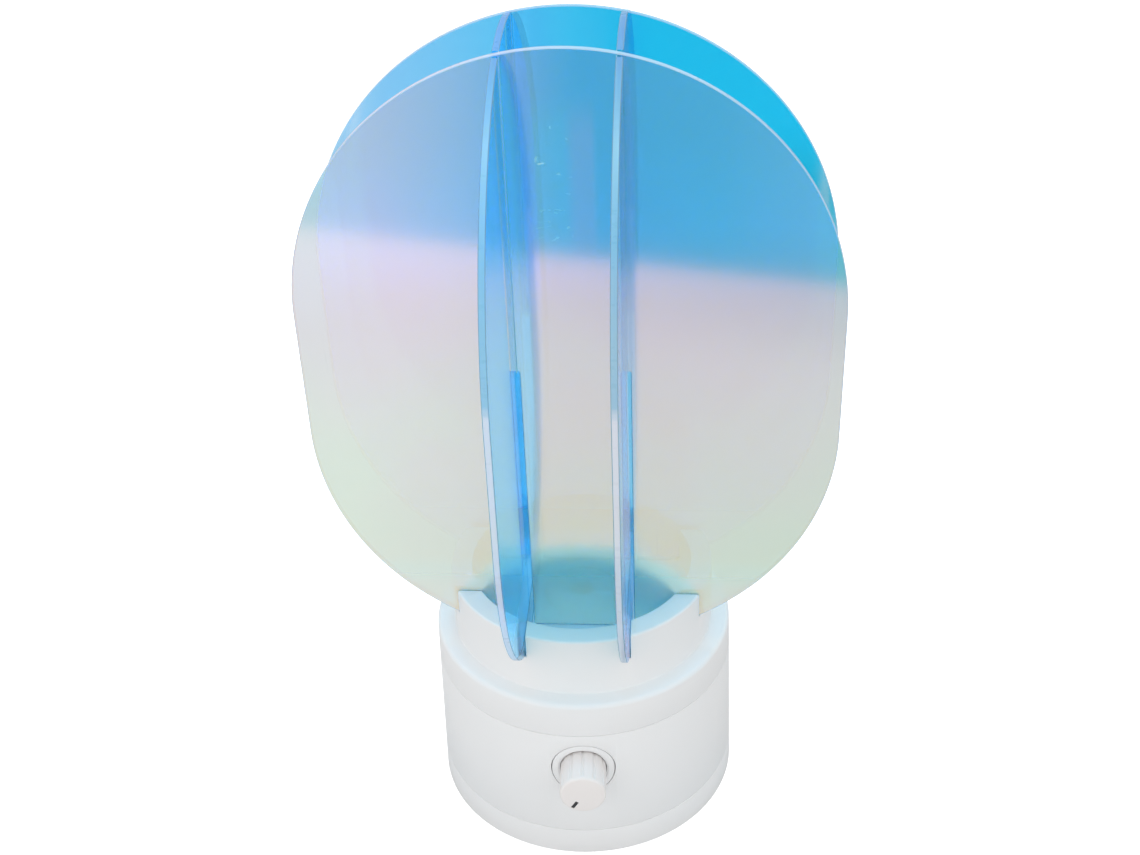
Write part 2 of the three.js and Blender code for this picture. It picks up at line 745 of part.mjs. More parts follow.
// The pointer lies along its own direction from the knob's centre; z = 0 is the knob's face.
function pointerBar(grow) {
  const half = pointerWidth / 2 + grow;
  const ends = [knobRadius * pointerStartShare - grow, knobRadius * pointerEndShare + grow];
  const top = grow > 0 ? overrun : pointerProud;
  return block(ends, [-half, half], [-pointerDepth - grow, top]).rotateZ(radians(pointerAngle));
}

function potForms() {
  const bushingFront = nutFace + bushingBeyondNut;
  const potBack = potFace - potDepth;
  const nutBore = bushingRadius + boreGap;
  const lug = block(
    [-potLug.width / 2, potLug.width / 2],
    [-potRadius - potLug.height, -potRadius / 2],
    [potBack, potBack + potLug.thickness],
  );
  return {
    body: joined(rod(potRadius, potBack, potFace), lug),
    bushing: ring(shaftRadius + boreGap, bushingRadius, potFace + touchGap, bushingFront),
    shaft: rod(shaftRadius, potFace + touchGap, knobBack + shaftInKnob),
    washer: ring(bushingRadius + boreGap, washerRadius, washerBack, washerBack + washerThickness),
    nut: cutBy(rod(nutRadius, nutBack, nutFace, nutSides), rod(nutBore, nutBack - overrun, nutFace + overrun)),
  };
}

function bracketForm() {
  const half = bracketWidth / 2;
  const top = flangeUnderside - touchGap - dialLevel;
  const plate = block([-half, half], [-bracketDrop, top], [bracketBack, bracketFace]);
  const tab = block([-half, half], [top - bracketThickness, top], [bracketTabEnd, bracketBack + joinDepth]);
  const hole = rod(bushingRadius + boreGap, bracketBack - overrun, bracketFace + overrun);
  const screwHoles = bracketScrewPlaces.map((x) =>
    rod(bracketScrew.shank + boreGap, top - bracketThickness - overrun, top + overrun, screwSides)
      .rotateX(-Math.PI / 2)
      .translate(x, 0, bracketTabMiddle),
  );
  return cutBy(joined(plate, tab), hole, ...screwHoles);
}

// The bezel's face follows the wall's round outside, so it is made in the lamp's own frame.
function bezelForm() {
  const flangeFront = wallInside(dialLevel) - bezelBackset;
  const flangeBack = flangeFront - bezelFlangeThickness;
  const tube = ring(knobHoleRadius, bezelRadius, flangeBack, dialWall + overrun, partSides * 2);
  const flange = ring(knobHoleRadius, bezelFlangeRadius, flangeBack, flangeFront, partSides * 2);
  const envelope = turned(
    [
      [0, housingFoot],
      [wallOutside(housingFoot), housingFoot],
      [wallOutside(housingTop), housingTop],
      [0, housingTop],
    ],
    wallSides,
  );
  return sharedBy(joined(tube, flange).applyMatrix4(dialFrame), envelope);
}

function addDial() {
  addPiece("knob_bezel", bezelForm(), whitePlastic);
  const dial = new THREE.Group();
  dial.applyMatrix4(dialFrame);
  lamp.add(dial);
  addPiece("dimmer_knob", knobForm(), whitePlastic, dial);
  addPiece("knob_pointer", pointerBar(0), blackPlastic, dial).position.z = knobFace;
  const pot = potForms();
  addPiece("pot_shaft", pot.shaft, steel, dial);
  addPiece("pot_bushing", pot.bushing, brass, dial);
  addPiece("pot_body", pot.body, steel, dial);
  addPiece("pot_washer", pot.washer, steel, dial);
  addPiece("pot_nut", pot.nut, brass, dial);
  addPiece("pot_bracket", bracketForm(), steel, dial);
  const form = screwForm(bracketScrew, bracketThickness);
  const seat = flangeUnderside - 2 * touchGap - bracketThickness;
  bracketScrewPlaces.forEach((x, i) => {
    const [px, py] = besideDial(x, bracketTabMiddle);
    addPiece(`bracket_screw_${i + 1}`, form, steel).position.set(px, py, seat);
  });
}

// Control board

function addControlBoard() {
  const { halfWidth: wide, start, end: waist } = boardFront;
  const { halfWidth: narrow, end } = boardRear;
  const half = [[wide, start], [wide, waist], [narrow, waist], [narrow, end]];
  const mirrored = half.map(([x, y]) => [-x, y]).reverse();
  const shape = new THREE.Shape([...half, ...mirrored].map(([x, y]) => new THREE.Vector2(x, y)));
  const plate = new THREE.ExtrudeGeometry(shape, { depth: boardThickness, bevelEnabled: false });
  const holes = boardPostPlaces.map((place) =>
    rodAt(place, boardScrew.shank + boreGap, -overrun, boardThickness + overrun, screwSides),
  );
  addPiece("control_board", cutBy(plate, ...holes), boardGreen).position.z = boardLevel;
  const form = screwForm(boardScrew, boardThickness);
  boardPostPlaces.forEach(([x, y], i) => {
    const screw = addPiece(`board_screw_${i + 1}`, form, steel);
    screw.rotation.x = Math.PI;
    screw.position.set(x, y, boardTop + touchGap);
  });
}

function addBoardParts() {
  const foot = boardTop + touchGap;
  const boxPart = ({ width, depth, height }) =>
    block([-width / 2, width / 2], [-depth / 2, depth / 2], [0, height]);
  const place = (piece, at) => piece.position.set(...at, foot);
  place(addPiece("driver_chip", boxPart(chip), blackPlastic), chipPlace);
  place(addPiece("inductor", rod(inductor.radius, 0, inductor.height), blackPlastic), inductorPlace);
  place(addPiece("capacitor", rod(capacitor.radius, 0, capacitor.height), aluminium), capacitorPlace);
  place(addPiece("led_connector", boxPart(ledConnector), whitePlastic), ledConnectorPlace);
  place(addPiece("dial_connector", boxPart(dialConnector), whitePlastic), dialConnectorPlace);
}

// The inlet's nozzle lies in the housing's rear hole; z runs from its body out to its mouth.
function addInlet() {
  const mouth = wallOutside(inletLevel) - inletRecess;
  const half = inletBody.width / 2;
  const halfHeight = inletBody.height / 2;
  const body = block([-half, half], [-halfHeight, halfHeight], [inletFace - inletBody.depth, inletFace]);
  const nozzle = rod(inletNozzleRadius, inletFace - joinDepth, mouth);
  const boreFloor = mouth - inletBoreDepth;
  const bore = ring(inletPinRadius, inletBoreRadius, boreFloor, mouth + overrun);
  const pinTop = rod(inletBoreRadius, mouth - inletPinSetback, mouth + overrun);
  const inlet = addPiece("dc_inlet", cutBy(joined(body, nozzle), bore, pinTop), blackPlastic);
  inlet.rotation.x = -Math.PI / 2;
  inlet.position.z = inletLevel;
}

// A round cable through points, with a flat end at each.
function cableAlong(points) {
  const corner = (_, i) => new THREE.Vector2(...onCircle(cableRadius, (360 * i) / cableSides));
  const section = new THREE.Shape(Array.from({ length: cableSides }, corner));
  const path = new THREE.CatmullRomCurve3(points.map((point) => new THREE.Vector3(...point)));
  return new THREE.ExtrudeGeometry(section, { extrudePath: path, steps: cableSteps, bevelEnabled: false });
}

function addCables() {
  const start = boardTop + 2 * touchGap;
  const ledStart = start + ledConnector.height;
  const tabReach = lensFlangeRadius + ledTab.reach - cableRadius;
  const ledEnd = ledBoardTop + touchGap;
  const bend = 2 * cableRadius;
  const outside = sinkRadius + 2 * bend;
  const ledPoints = [
    [...ledConnectorPlace, ledStart],
    [...ledConnectorPlace, ledStart + cableRise],
    [ledConnectorPlace[0] / 2, outside, (ledStart + sinkUnderside) / 2],
    [0, outside, sinkTop],
    [0, (outside + tabReach) / 2, ledEnd + bend],
    [0, tabReach, ledEnd + bend / 2],
    [0, tabReach, ledEnd],
  ];
  addPiece("led_cable", cableAlong(ledPoints), blackPlastic);
  const dialStart = start + dialConnector.height;
  const lugOutward = potFace - potDepth - touchGap;
  const lugLevel = dialLevel - potRadius;
  const [endX, endY] = besideDial(0, lugOutward);
  const [nearX, nearY] = besideDial(0, lugOutward - 2 * bend);
  const dialPoints = [
    [...dialConnectorPlace, dialStart],
    [...dialConnectorPlace, dialStart + cableRise / 2],
    [dialConnectorPlace[0] / 2, 0, lugLevel + bend],
    [nearX, nearY, lugLevel],
    [endX, endY, lugLevel],
  ];
  addPiece("dial_cable", cableAlong(dialPoints), blackPlastic);
}

addPanels();
addTopCover();
addHousing();
addBottomCover();
addFeet();
addBallast();
addCoverScrews();
addLightSource();
addHeatSink();
addDial();
addControlBoard();
addBoardParts();
addInlet();
addCables();

export default lamp;
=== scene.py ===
import math

import bmesh
import bpy
from mathutils import Matrix, Vector


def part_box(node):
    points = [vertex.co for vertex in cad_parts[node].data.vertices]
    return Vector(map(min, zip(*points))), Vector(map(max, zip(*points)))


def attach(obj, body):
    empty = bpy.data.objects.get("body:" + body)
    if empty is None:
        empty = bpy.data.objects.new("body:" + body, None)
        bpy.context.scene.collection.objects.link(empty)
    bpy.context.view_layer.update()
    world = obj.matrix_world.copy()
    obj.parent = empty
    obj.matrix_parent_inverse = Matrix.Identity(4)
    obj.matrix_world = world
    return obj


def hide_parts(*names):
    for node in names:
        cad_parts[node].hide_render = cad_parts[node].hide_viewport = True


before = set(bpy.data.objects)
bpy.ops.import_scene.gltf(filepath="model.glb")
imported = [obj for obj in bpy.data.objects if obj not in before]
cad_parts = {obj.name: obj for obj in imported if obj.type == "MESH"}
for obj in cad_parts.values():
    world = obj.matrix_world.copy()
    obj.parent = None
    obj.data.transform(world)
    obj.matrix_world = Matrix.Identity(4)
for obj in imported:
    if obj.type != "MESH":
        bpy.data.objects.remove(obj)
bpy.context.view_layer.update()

MM = 0.001

# The photograph's camera, in its 1140 by 855 frame
PHOTO_WIDTH = 1140
FOCAL_PIXELS = 1559.9
SENSOR_WIDTH = 36.0
CAMERA_PLACE = Vector((34.32, -410.65, 403.91)) * MM
CAMERA_YAW = -5.06
CAMERA_PITCH = -32.94
CAMERA_ROLL = -2.29
CAMERA_CLIP = (0.01, 50)

# Panels
PANEL_STRAIGHT = 40 * MM  # between the two round ends
SLOT_CLEARANCE = 0.35 * MM  # on each side of a panel in its slots
LAP_GAP = 0.3 * MM  # between two panels' slot ends, and below a panel's foot in the collar
LAP_SHARE = 0.495  # the laps' height in the panel's own height
LAP_CLEARANCE = 0.7 * MM  # beside a panel where two panels cross
LAP_TOUCH = 0.1 * MM  # on the left of a side panel, which rests against that side of its slots
SLOT_CORNER = 0.5 * MM
RIM_BEVEL = 0.25 * MM
BEVEL_REACH = 1.1 * RIM_BEVEL  # a slot's wall with its bevel, and a little more
ARC_STEPS = 120  # along half a circle
CROWN_STEPS = 10  # along the stretch of the upper end between its two slots
CUTTER_STEPS = 60
CORNER_STEPS = 4
FACE_SIDE = 0.999  # how far a flat face's normal points across the sheet, at least
BEVEL_SIDE = 0.2  # the same for a bevel
SHEET_SHARP_ANGLE = 50
ACROSS = ("front_panel", "rear_panel")
ALONG = ("left_panel", "right_panel")
UPRIGHT = Matrix(((1, 0, 0, 0), (0, 0, -1, 0), (0, 1, 0, 0), (0, 0, 0, 1)))  # Y becomes the height

# Base
WALL_SIDES = 192
SHOULDER_RADIUS = 49.4 * MM
SHOULDER_LEVEL = 64.3 * MM
WALL_THICKNESS = 2.2 * MM
LOWER_SEAM = 10.35 * MM
UPPER_SEAM = 51.8 * MM
SEAM_GAP = 0.12 * MM
SEAM_EDGE = 0.18 * MM
SHOULDER_FILLET = 1.6 * MM
FOOT_FILLET = 0.2 * MM
FOOT_REVEAL = 0.08 * MM  # the wall's lower edge above the surface
FOOT_LIP = 1.6 * MM  # width of the wall's lower edge
BOTTOM_PLATE = 3 * MM
LIP_OUTSIDE = 0.4 * MM  # the bottom cover's raised lip, both faces in from the housing's inside
LIP_INSIDE = 2.2 * MM
COLLAR_OUTER = 43.3 * MM
COLLAR_INNER = 36.2 * MM
COLLAR_FILLET = 0.8 * MM
COLLAR_FOOT_FILLET = 0.6 * MM
COLLAR_INNER_FILLET = 0.4 * MM
WELL_FLOOR = 71.5 * MM
FLOOR_THICKNESS = 2 * MM
EDGE_ROUND = 0.2 * MM
SEAM_ROUND = 0.12 * MM
ROUNDED_ANGLE = 40  # edges sharper than this are rounded
SHARP_ANGLE = 35  # and edges sharper than this stay hard in the shading
AXIS_REACH = 1e-7  # a radius below this lies on the axis
SEAM_STEPS = 3
SHOULDER_STEPS = 8
COLLAR_FOOT_STEPS = 5
COLLAR_INNER_STEPS = 4
FILLET_STEPS = 6
LENS_WINDOW = 12.5 * MM
SOURCE_SPOT = (2.6 * MM, 4.8 * MM)  # the light source's faint painted shade in the window, as a soft border
INLET_NOZZLE = 4.1 * MM
HOLE_GAP = 0.32 * MM  # round the bezel and the inlet in the wall
HOLE_SIDES = 96
INLET_SIDES = 64
OVERRUN = 2 * MM  # how far a cutter runs past what it cuts

# Dial
DIAL_AZIMUTH = math.radians(2.6)
DIAL_LEVEL = 37.6 * MM
KNOB_RADIUS = 7.4 * MM
KNOB_PROUD = 11.2 * MM  # the knob's face beyond the wall
KNOB_TAIL = 4 * MM  # its back behind the wall's outside
KNOB_EDGE = 0.9 * MM
KNOB_ROUND = 0.08 * MM
KNOB_SIDES = 144
KNOB_SHARP_ANGLE = 30
FLUTES = 12
FLUTE_RADIUS = 0.62 * MM
FLUTE_STANDOFF = 0.28 * MM  # a flute's centre outside the knob's own radius
FLUTE_STOP_SHARE = 0.12  # smooth stretch behind the knob's face, in the knob's length
FLUTE_SIDES = 24
KNOB_HOLE = 8.2 * MM
BEZEL_RADIUS = 10.1 * MM
BEZEL_ROUND = 0.06 * MM
BEZEL_BORE = 7.65 * MM
BEZEL_STEP = 0.9 * MM  # the ledge round the knob below the wall
BEZEL_DEPTH = 6 * MM
BEZEL_SIDES = 128
POINTER_ANGLE = math.radians(237)
POINTER_WIDTH = 1.1 * MM
POINTER_SHARES = (0.46, 0.86)  # its two ends in the knob's radius
POINTER_SUNK = 0.5 * MM
POINTER_RAISED = 0.06 * MM
POINTER_ROUND = 0.05 * MM
# The dial's own frame: x to the right, y up and z outward, seen from the front
DIAL_FRAME = (
    Matrix.Rotation(DIAL_AZIMUTH, 4, "Z")
    @ Matrix.Translation((0, 0, DIAL_LEVEL))
    @ Matrix.Rotation(math.pi / 2, 4, "X")
)

# Stage: the table, its front edge as the photograph's panels mirror it, and the light
FLOOR_HALF = 12.0
FLOOR_THIN = 0.01
FLOOR_SPAN = (-0.13, 0.0)  # from left to right, the stretch over which the paper darkens: painted shade of light falling off to the right
FLOOR_TONES = (0.70, 0.61)
EDGE_DIMMING = (1.0, 0.84)  # painted shade: share of its tone at and before the table's front edge, left and right
EDGE_WIDTH = 0.10
FIBRE_TONES = (0.99, 1.01)
PAPER_ROUGHNESS = 0.9
PAPER_SPECULAR = 0.1
# The glow, painted light, that the paper adds where it is seen through the panels: behind the lamp, and far
# off on every side
BEHIND_GLOW = (0.10, 0.18)  # through one panel, and through two
BEHIND_SPAN = (-0.04, 0.05)
BACKDROP_GLOW = 0.50
BACKDROP_NEAR = 0.42
BACKDROP_FAR = 0.60
BACKDROP_SHIFT = 0.16  # how much sooner the far glow starts through two panels
# Counts of clear faces passed: fewer than the first is none, more than the second is two panels or more
NO_FACE = 0.5
ONE_PANEL = 3.0
TABLE_EDGE_LEFT = Vector((-0.180, -0.453, 0))
TABLE_EDGE_RIGHT = Vector((0.120, -0.381, 0))
CARD_HALF = 1.2
CARD_THIN = 0.004
CARD_HEIGHT = 1.4
CARD_BRIGHT_END = -0.24
CARD_DARK_END = 0.14
CARD_FADE = (0.006, 0.012)  # height of its soft foot at those two ends
CARD_TONES = [  # the mirrored room, painted as a glow from its bright end to its dark end
    (0.0, (0.52, 0.62, 0.46)),
    (0.32, (0.41, 0.53, 0.44)),
    (0.46, (0.27, 0.47, 0.44)),
    (0.64, (0.07, 0.33, 0.34)),
    (0.85, (0.08, 0.36, 0.34)),
    (1.0, (0.12, 0.40, 0.38)),
]
ROOM_LIGHT = Vector((0.47, 0.56, 0.70))  # from the sides, from front and back, and from the ceiling
ROOM_SEEN = 1.0
LIGHT_CENTRE = Vector((0, 0, 0.1))
LIGHTS = [  # name, place, size and power
    ("ceiling", (0.05, 0.42, 1.85), 0.35, 5.7),
    ("skylight", (0.0, -0.15, 1.9), 0.5, 1.3),
    ("low_front", (0.1, -1.6, 0.35), 0.8, 2.2),
    ("window", (-0.72, -1.32, 1.0), 1.0, 1.3),
    ("fill", (1.2, -1.1, 0.7), 1.0, 0.5),
]
MOST_CLEAR_FACES = 32
MOST_MIRRORINGS = 2


# Meshes

def piece_from(name, mesh):
    """A new object in the scene."""
    obj = bpy.data.objects.new(name, mesh)
    bpy.context.scene.collection.objects.link(obj)
    return obj


def mesh_from(name, bm):
    """Turns a bmesh into a mesh with its faces pointing out."""
    bmesh.ops.recalc_face_normals(bm, faces=bm.faces)
    mesh = bpy.data.meshes.new(name)
    bm.to_mesh(mesh)
    bm.free()
    return mesh


def settle(obj):
    """Applies every modifier of an object."""
    depsgraph = bpy.context.evaluated_depsgraph_get()
    mesh = bpy.data.meshes.new_from_object(obj.evaluated_get(depsgraph))
    obj.modifiers.clear()
    obj.data = mesh


def soften(obj, sharp_angle=SHARP_ANGLE):
    """Smooth shading with the sharp edges kept."""
    bm = bmesh.new()
    bm.from_mesh(obj.data)
    limit = math.radians(sharp_angle)
    for face in bm.faces:
        face.smooth = True
    for edge in bm.edges:
        edge.smooth = len(edge.link_faces) == 2 and edge.calc_face_angle(0) < limit
    bm.to_mesh(obj.data)
    bm.free()


def round_edges(obj, width):
    """Bevels the sharp edges and applies the bevel."""
    bevel = obj.modifiers.new("round", "BEVEL")
    bevel.width = width
    bevel.segments = 2
    bevel.limit_method = "ANGLE"
    bevel.angle_limit = math.radians(ROUNDED_ANGLE)
    settle(obj)


def carve(obj, cutters, operation="DIFFERENCE"):
    """Cuts an object by others and deletes those."""
    for cutter in cutters:
        cut = obj.modifiers.new("cut", "BOOLEAN")
        cut.operation = operation
        cut.object = cutter
        cut.solver = "EXACT"
    settle(obj)
    for cutter in cutters:
        bpy.data.objects.remove(cutter)


def arc(centre, radius, start, end, steps):
    """Points of an arc, from one angle to the next in degrees."""
    angles = [math.radians(start + (end - start) * i / steps) for i in range(steps + 1)]
    return [(centre[0] + radius * math.cos(a), centre[1] + radius * math.sin(a)) for a in angles]


def lathe(name, profile, sides=WALL_SIDES, ring=False):
    """A solid of revolution about Z from (radius, level) points; a ring's profile closes on itself."""
    bm = bmesh.new()
    turns = [2 * math.pi * i / sides for i in range(sides)]
    rows = []
    for radius, level in profile:
        if radius < AXIS_REACH:
            rows.append([bm.verts.new((0, 0, level))])
        else:
            rows.append([bm.verts.new((radius * math.cos(t), radius * math.sin(t), level)) for t in turns])
    following = rows[1:] + rows[:1] if ring else rows[1:]
    for low, high in zip(rows, following):
        for i in range(sides):
            j = (i + 1) % sides
            corners = [low[i % len(low)], low[j % len(low)], high[j % len(high)], high[i % len(high)]]
            bm.faces.new(list(dict.fromkeys(corners)))
    return piece_from(name, mesh_from(name, bm))


def rod(name, radius, low, high, sides):
    """A round bar along Z."""
    return lathe(name, [(0, low), (radius, low), (radius, high), (0, high)], sides)


def prism(name, outline, low, high):
    """A flat outline in X and Y raised from one level to another."""
    bm = bmesh.new()
    face = bm.faces.new([bm.verts.new((x, y, low)) for x, y in outline])
    raised = bmesh.ops.extrude_face_region(bm, geom=[face])
    corners = [v for v in raised["geom"] if isinstance(v, bmesh.types.BMVert)]
    bmesh.ops.translate(bm, verts=corners, vec=(0, 0, high - low))
    return piece_from(name, mesh_from(name, bm))


def block(name, low, high):
    """A box between two corners."""
    outline = [(low[0], low[1]), (high[0], low[1]), (high[0], high[1]), (low[0], high[1])]
    return prism(name, outline, low[2], high[2])


def place(obj, matrix):
    """Moves an object's mesh, so that the object itself stays at the origin."""
    obj.data.transform(matrix)
    return obj


def dress(obj, materials, body, slot, *nodes):
    """Gives a piece its materials and its body, and hides the CAD nodes that it stands for; the slot is not
    used.
    """
    for material in materials:
        obj.data.materials.append(material)
    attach(obj, body)
    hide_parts(*nodes)


# Materials

WHITE = (1, 1, 1)
SHEEN_POWER = 5.0


class Graph:
    """A material's node tree, built by short calls."""

    def __init__(self, name):
        self.material = bpy.data.materials.new(name)
        self.material.use_nodes = True
        self.tree = self.material.node_tree
        self.tree.nodes.clear()
        self.output = self.tree.nodes.new("ShaderNodeOutputMaterial")
        self.coordinates = self.node("ShaderNodeTexCoord", {}).outputs["Object"]

    def node(self, kind, inputs, **settings):
        made = self.tree.nodes.new(kind)
        for key, value in settings.items():
            setattr(made, key, value)
        for key, value in inputs.items():
            self.feed(made.inputs[key], value)
        return made

    def feed(self, socket, value):
        if isinstance(value, bpy.types.NodeSocket):
            self.tree.links.new(value, socket)
        else:
            socket.default_value = value

    def math(self, operation, a, b=0.0):
        return self.node("ShaderNodeMath", {0: a, 1: b}, operation=operation).outputs[0]

    def chain(self, operation, first, *others):
        """Works one value after the other into the first."""
        for other in others:
            first = self.math(operation, first, other)
        return first

    def times(self, *values):
        return self.chain("MULTIPLY", *values)

    def plus(self, *values):
        return self.chain("ADD", *values)

    def most(self, *values):
        return self.chain("MAXIMUM", *values)

    def wander(self, noise, reach):
        """A small shift up and down, as a noise gives it."""
        return self.times(self.math("SUBTRACT", noise, 0.5), reach)

    def axis(self, name):
        split = self.node("ShaderNodeSeparateXYZ", {"Vector": self.coordinates})
        return split.outputs[name]

    def spread(self, value, low, high, to_low=0.0, to_high=1.0):
        """Maps a value from one range to another, with soft ends."""
        made = self.node(
            "ShaderNodeMapRange",
            {"Value": value, "From Min": low, "From Max": high, "To Min": to_low, "To Max": to_high},
            interpolation_type="SMOOTHSTEP",
        )
        return made.outputs["Result"]

    def fall(self, value, low, high):
        """From 1 down to 0 over a range, with soft ends."""
        return self.spread(value, low, high, 1.0, 0.0)

    def line(self, value, low, high, to_low=0.0, to_high=1.0):
        """Maps a value from one range to another in a straight line, clamped."""
        made = self.node(
            "ShaderNodeMapRange",
            {"Value": value, "From Min": low, "From Max": high, "To Min": to_low, "To Max": to_high},
        )
        return made.outputs["Result"]

    def noise(self, scale, detail=3.0, roughness=0.5, stretch=(1, 1, 1), distortion=0.0):
        mapped = self.node("ShaderNodeMapping", {"Vector": self.coordinates, "Scale": stretch})
        made = self.node(
            "ShaderNodeTexNoise",
            {
                "Vector": mapped.outputs["Vector"],
                "Scale": scale,
                "Detail": detail,
                "Roughness": roughness,
                "Distortion": distortion,
            },
        )
        return made.outputs["Fac"]

    def ramp(self, value, stops):
        """A colour ramp from (place, colour) stops."""
        made = self.node("ShaderNodeValToRGB", {"Fac": value})
        elements = made.color_ramp.elements
        elements[0].position, elements[0].color = stops[0][0], (*stops[0][1], 1)
        elements[1].position, elements[1].color = stops[-1][0], (*stops[-1][1], 1)
        for position, colour in stops[1:-1]:
            elements.new(position).color = (*colour, 1)
        return made.outputs["Color"]

    def blend(self, factor, a, b, mode="MIX"):
        """Mixes two colours."""
        made = self.node("ShaderNodeMix", {}, data_type="RGBA", blend_type=mode)
        sockets = {s.identifier: s for s in made.inputs}
        self.feed(sockets["Factor_Float"], factor)
        self.feed(sockets["A_Color"], self.paint(a))
        self.feed(sockets["B_Color"], self.paint(b))
        return next(s for s in made.outputs if s.identifier == "Result_Color")

    def mottle(self, value, colour, darkest, palest):
        """A colour between a darker and a paler shade of itself."""
        dark = [c * darkest for c in colour]
        pale = [min(1, c * palest) for c in colour]
        return self.blend(value, dark, pale)

    def bump(self, height, strength, distance):
        made = self.node("ShaderNodeBump", {"Height": height, "Strength": strength, "Distance": distance})
        return made.outputs["Normal"]

    def principled(self, **inputs):
        names = {key.replace("_", " ").title().replace("Ior", "IOR"): value for key, value in inputs.items()}
        return self.node("ShaderNodeBsdfPrincipled", names).outputs["BSDF"]

    def mix(self, factor, a, b):
        return self.node("ShaderNodeMixShader", {0: factor, 1: a, 2: b}).outputs[0]

    def add(self, a, b):
        return self.node("ShaderNodeAddShader", {0: a, 1: b}).outputs[0]

    def paint(self, colour):
        """A colour in the form that a socket takes: a link stays as it is."""
        return colour if isinstance(colour, bpy.types.NodeSocket) else (*colour, 1)

    def clear(self, colour):
        return self.node("ShaderNodeBsdfTransparent", {"Color": self.paint(colour)}).outputs[0]

    def gloss(self, colour, roughness):
        inputs = {"Color": self.paint(colour), "Roughness": roughness}
        return self.node("ShaderNodeBsdfGlossy", inputs).outputs[0]

    def facing(self):
        """0 where a face is seen straight on, 1 where it is seen edge on."""
        return self.node("ShaderNodeLayerWeight", {"Blend": 0.5}).outputs["Facing"]

    def sheen(self, straight, edge_on):
        """Share of light that a polished face mirrors, the same from both sides."""
        return self.plus(self.times(self.math("POWER", self.facing(), SHEEN_POWER), edge_on), straight)

    def finish(self, shader):
        self.tree.links.new(shader, self.output.inputs["Surface"])
        return self.material


# Film colours, straight on: what passes through and what is mirrored, from the foot up; their drift with
# height is partly the film's own and partly painted light and shade, as where the front film passes less and
# mirrors paler between its foot and its middle
PASSED = [
    (0.0, (0.004, 0.28, 0.48)),
    (0.05, (0.004, 0.27, 0.46)),
    (0.09, (0.004, 0.23, 0.40)),
    (0.14, (0.003, 0.15, 0.28)),
    (0.2, (0.003, 0.12, 0.24)),
    (0.4, (0.003, 0.13, 0.27)),
    (0.57, (0.003, 0.15, 0.33)),
    (0.66, (0.003, 0.25, 0.57)),
    (0.74, (0.002, 0.30, 0.70)),
    (0.82, (0.002, 0.315, 0.74)),
    (1.0, (0.002, 0.315, 0.745)),
]
PASSED_REAR = [
    (0.0, (0.012, 0.46, 0.80)),
    (0.6, (0.012, 0.44, 0.78)),
    (0.8, (0.012, 0.37, 0.68)),
    (1.0, (0.012, 0.37, 0.69)),
]
MIRRORED = [
    (0.0, (0.98, 0.79, 0.46)),
    (0.06, (0.96, 0.80, 0.48)),
    (0.12, (0.93, 0.86, 0.58)),
    (0.2, (0.92, 0.89, 0.64)),
    (0.4, (0.92, 0.85, 0.63)),
    (0.57, (0.90, 0.77, 0.59)),
    (0.66, (0.91, 0.69, 0.40)),
    (0.74, (0.93, 0.68, 0.28)),
    (0.82, (0.94, 0.68, 0.24)),
    (1.0, (0.94, 0.68, 0.24)),
]
MIRRORED_REAR = [
    (0.0, (0.50, 0.42, 0.24)),
    (0.6, (0.44, 0.38, 0.20)),
    (0.8, (0.28, 0.32, 0.14)),
    (1.0, (0.28, 0.31, 0.12)),
]
# Painted light: the rear film passes more red towards the left, where the light is brighter
LEFT_RED = 0.18
LEFT_RED_SPAN = (-75 * MM, 25 * MM)
# Rim colours from the foot up, painted light that the cut edges gather and mirror: of the two panels that
# stand across, and of the two that stand front to back
RIM_ACROSS = [
    (0.0, (0.54, 0.78, 0.86)),
    (0.25, (0.68, 0.80, 0.88)),
    (0.6, (0.60, 0.66, 0.84)),
    (0.85, (0.44, 0.54, 0.78)),
    (0.96, (0.54, 0.74, 0.92)),
    (1.0, (0.46, 0.76, 0.96)),
]
RIM_ALONG = [
    (0.0, (0.60, 0.72, 0.86)),
    (0.25, (0.82, 0.84, 0.94)),
    (0.61, (0.86, 0.86, 0.94)),
    (0.63, (0.34, 0.60, 0.80)),
    (0.8, (0.25, 0.58, 0.80)),
    (0.92, (0.36, 0.70, 0.90)),
    (0.97, (0.20, 0.50, 0.80)),
    (1.0, (0.16, 0.36, 0.74)),
]
# Painted light: the upper left of the rims that stand across is paler and pinkish
LEFT_RIM = (0.90, 0.74, 0.84)
LEFT_RIM_SPAN = (-50 * MM, 20 * MM)
LEFT_RIM_HEIGHT = (0.5, 0.7)
RIM_DRIFT = 0.02
SAW_SPAN = (0.3, 0.7)
RIM_ROUGHNESS = (0.25, 0.4)
CLEARNESS_ACROSS = 0.25
CLEARNESS_ALONG = 0.3
# The fine bevels, whose tones are painted shade where dark and painted highlights where pale: along the side
# panels' rims, along the other two's, and at the slots of either kind
OUTLINE_TONE = (0.24, 0.40, 0.52)
FAINT_TONE = (0.74, 0.82, 0.94)
SLOT_LINE_PALE = (0.62, 0.93, 1.0)
SLOT_LINE_BLUE = (0.07, 0.31, 0.52)
OUTLINE_CLEARNESS = 0.35
FAINT_CLEARNESS = 0.45
SLOT_LINE_CLEARNESS = 0.2
LINE_SHADES = (0.9, 1.1)
LINE_ROUGHNESS = 0.2
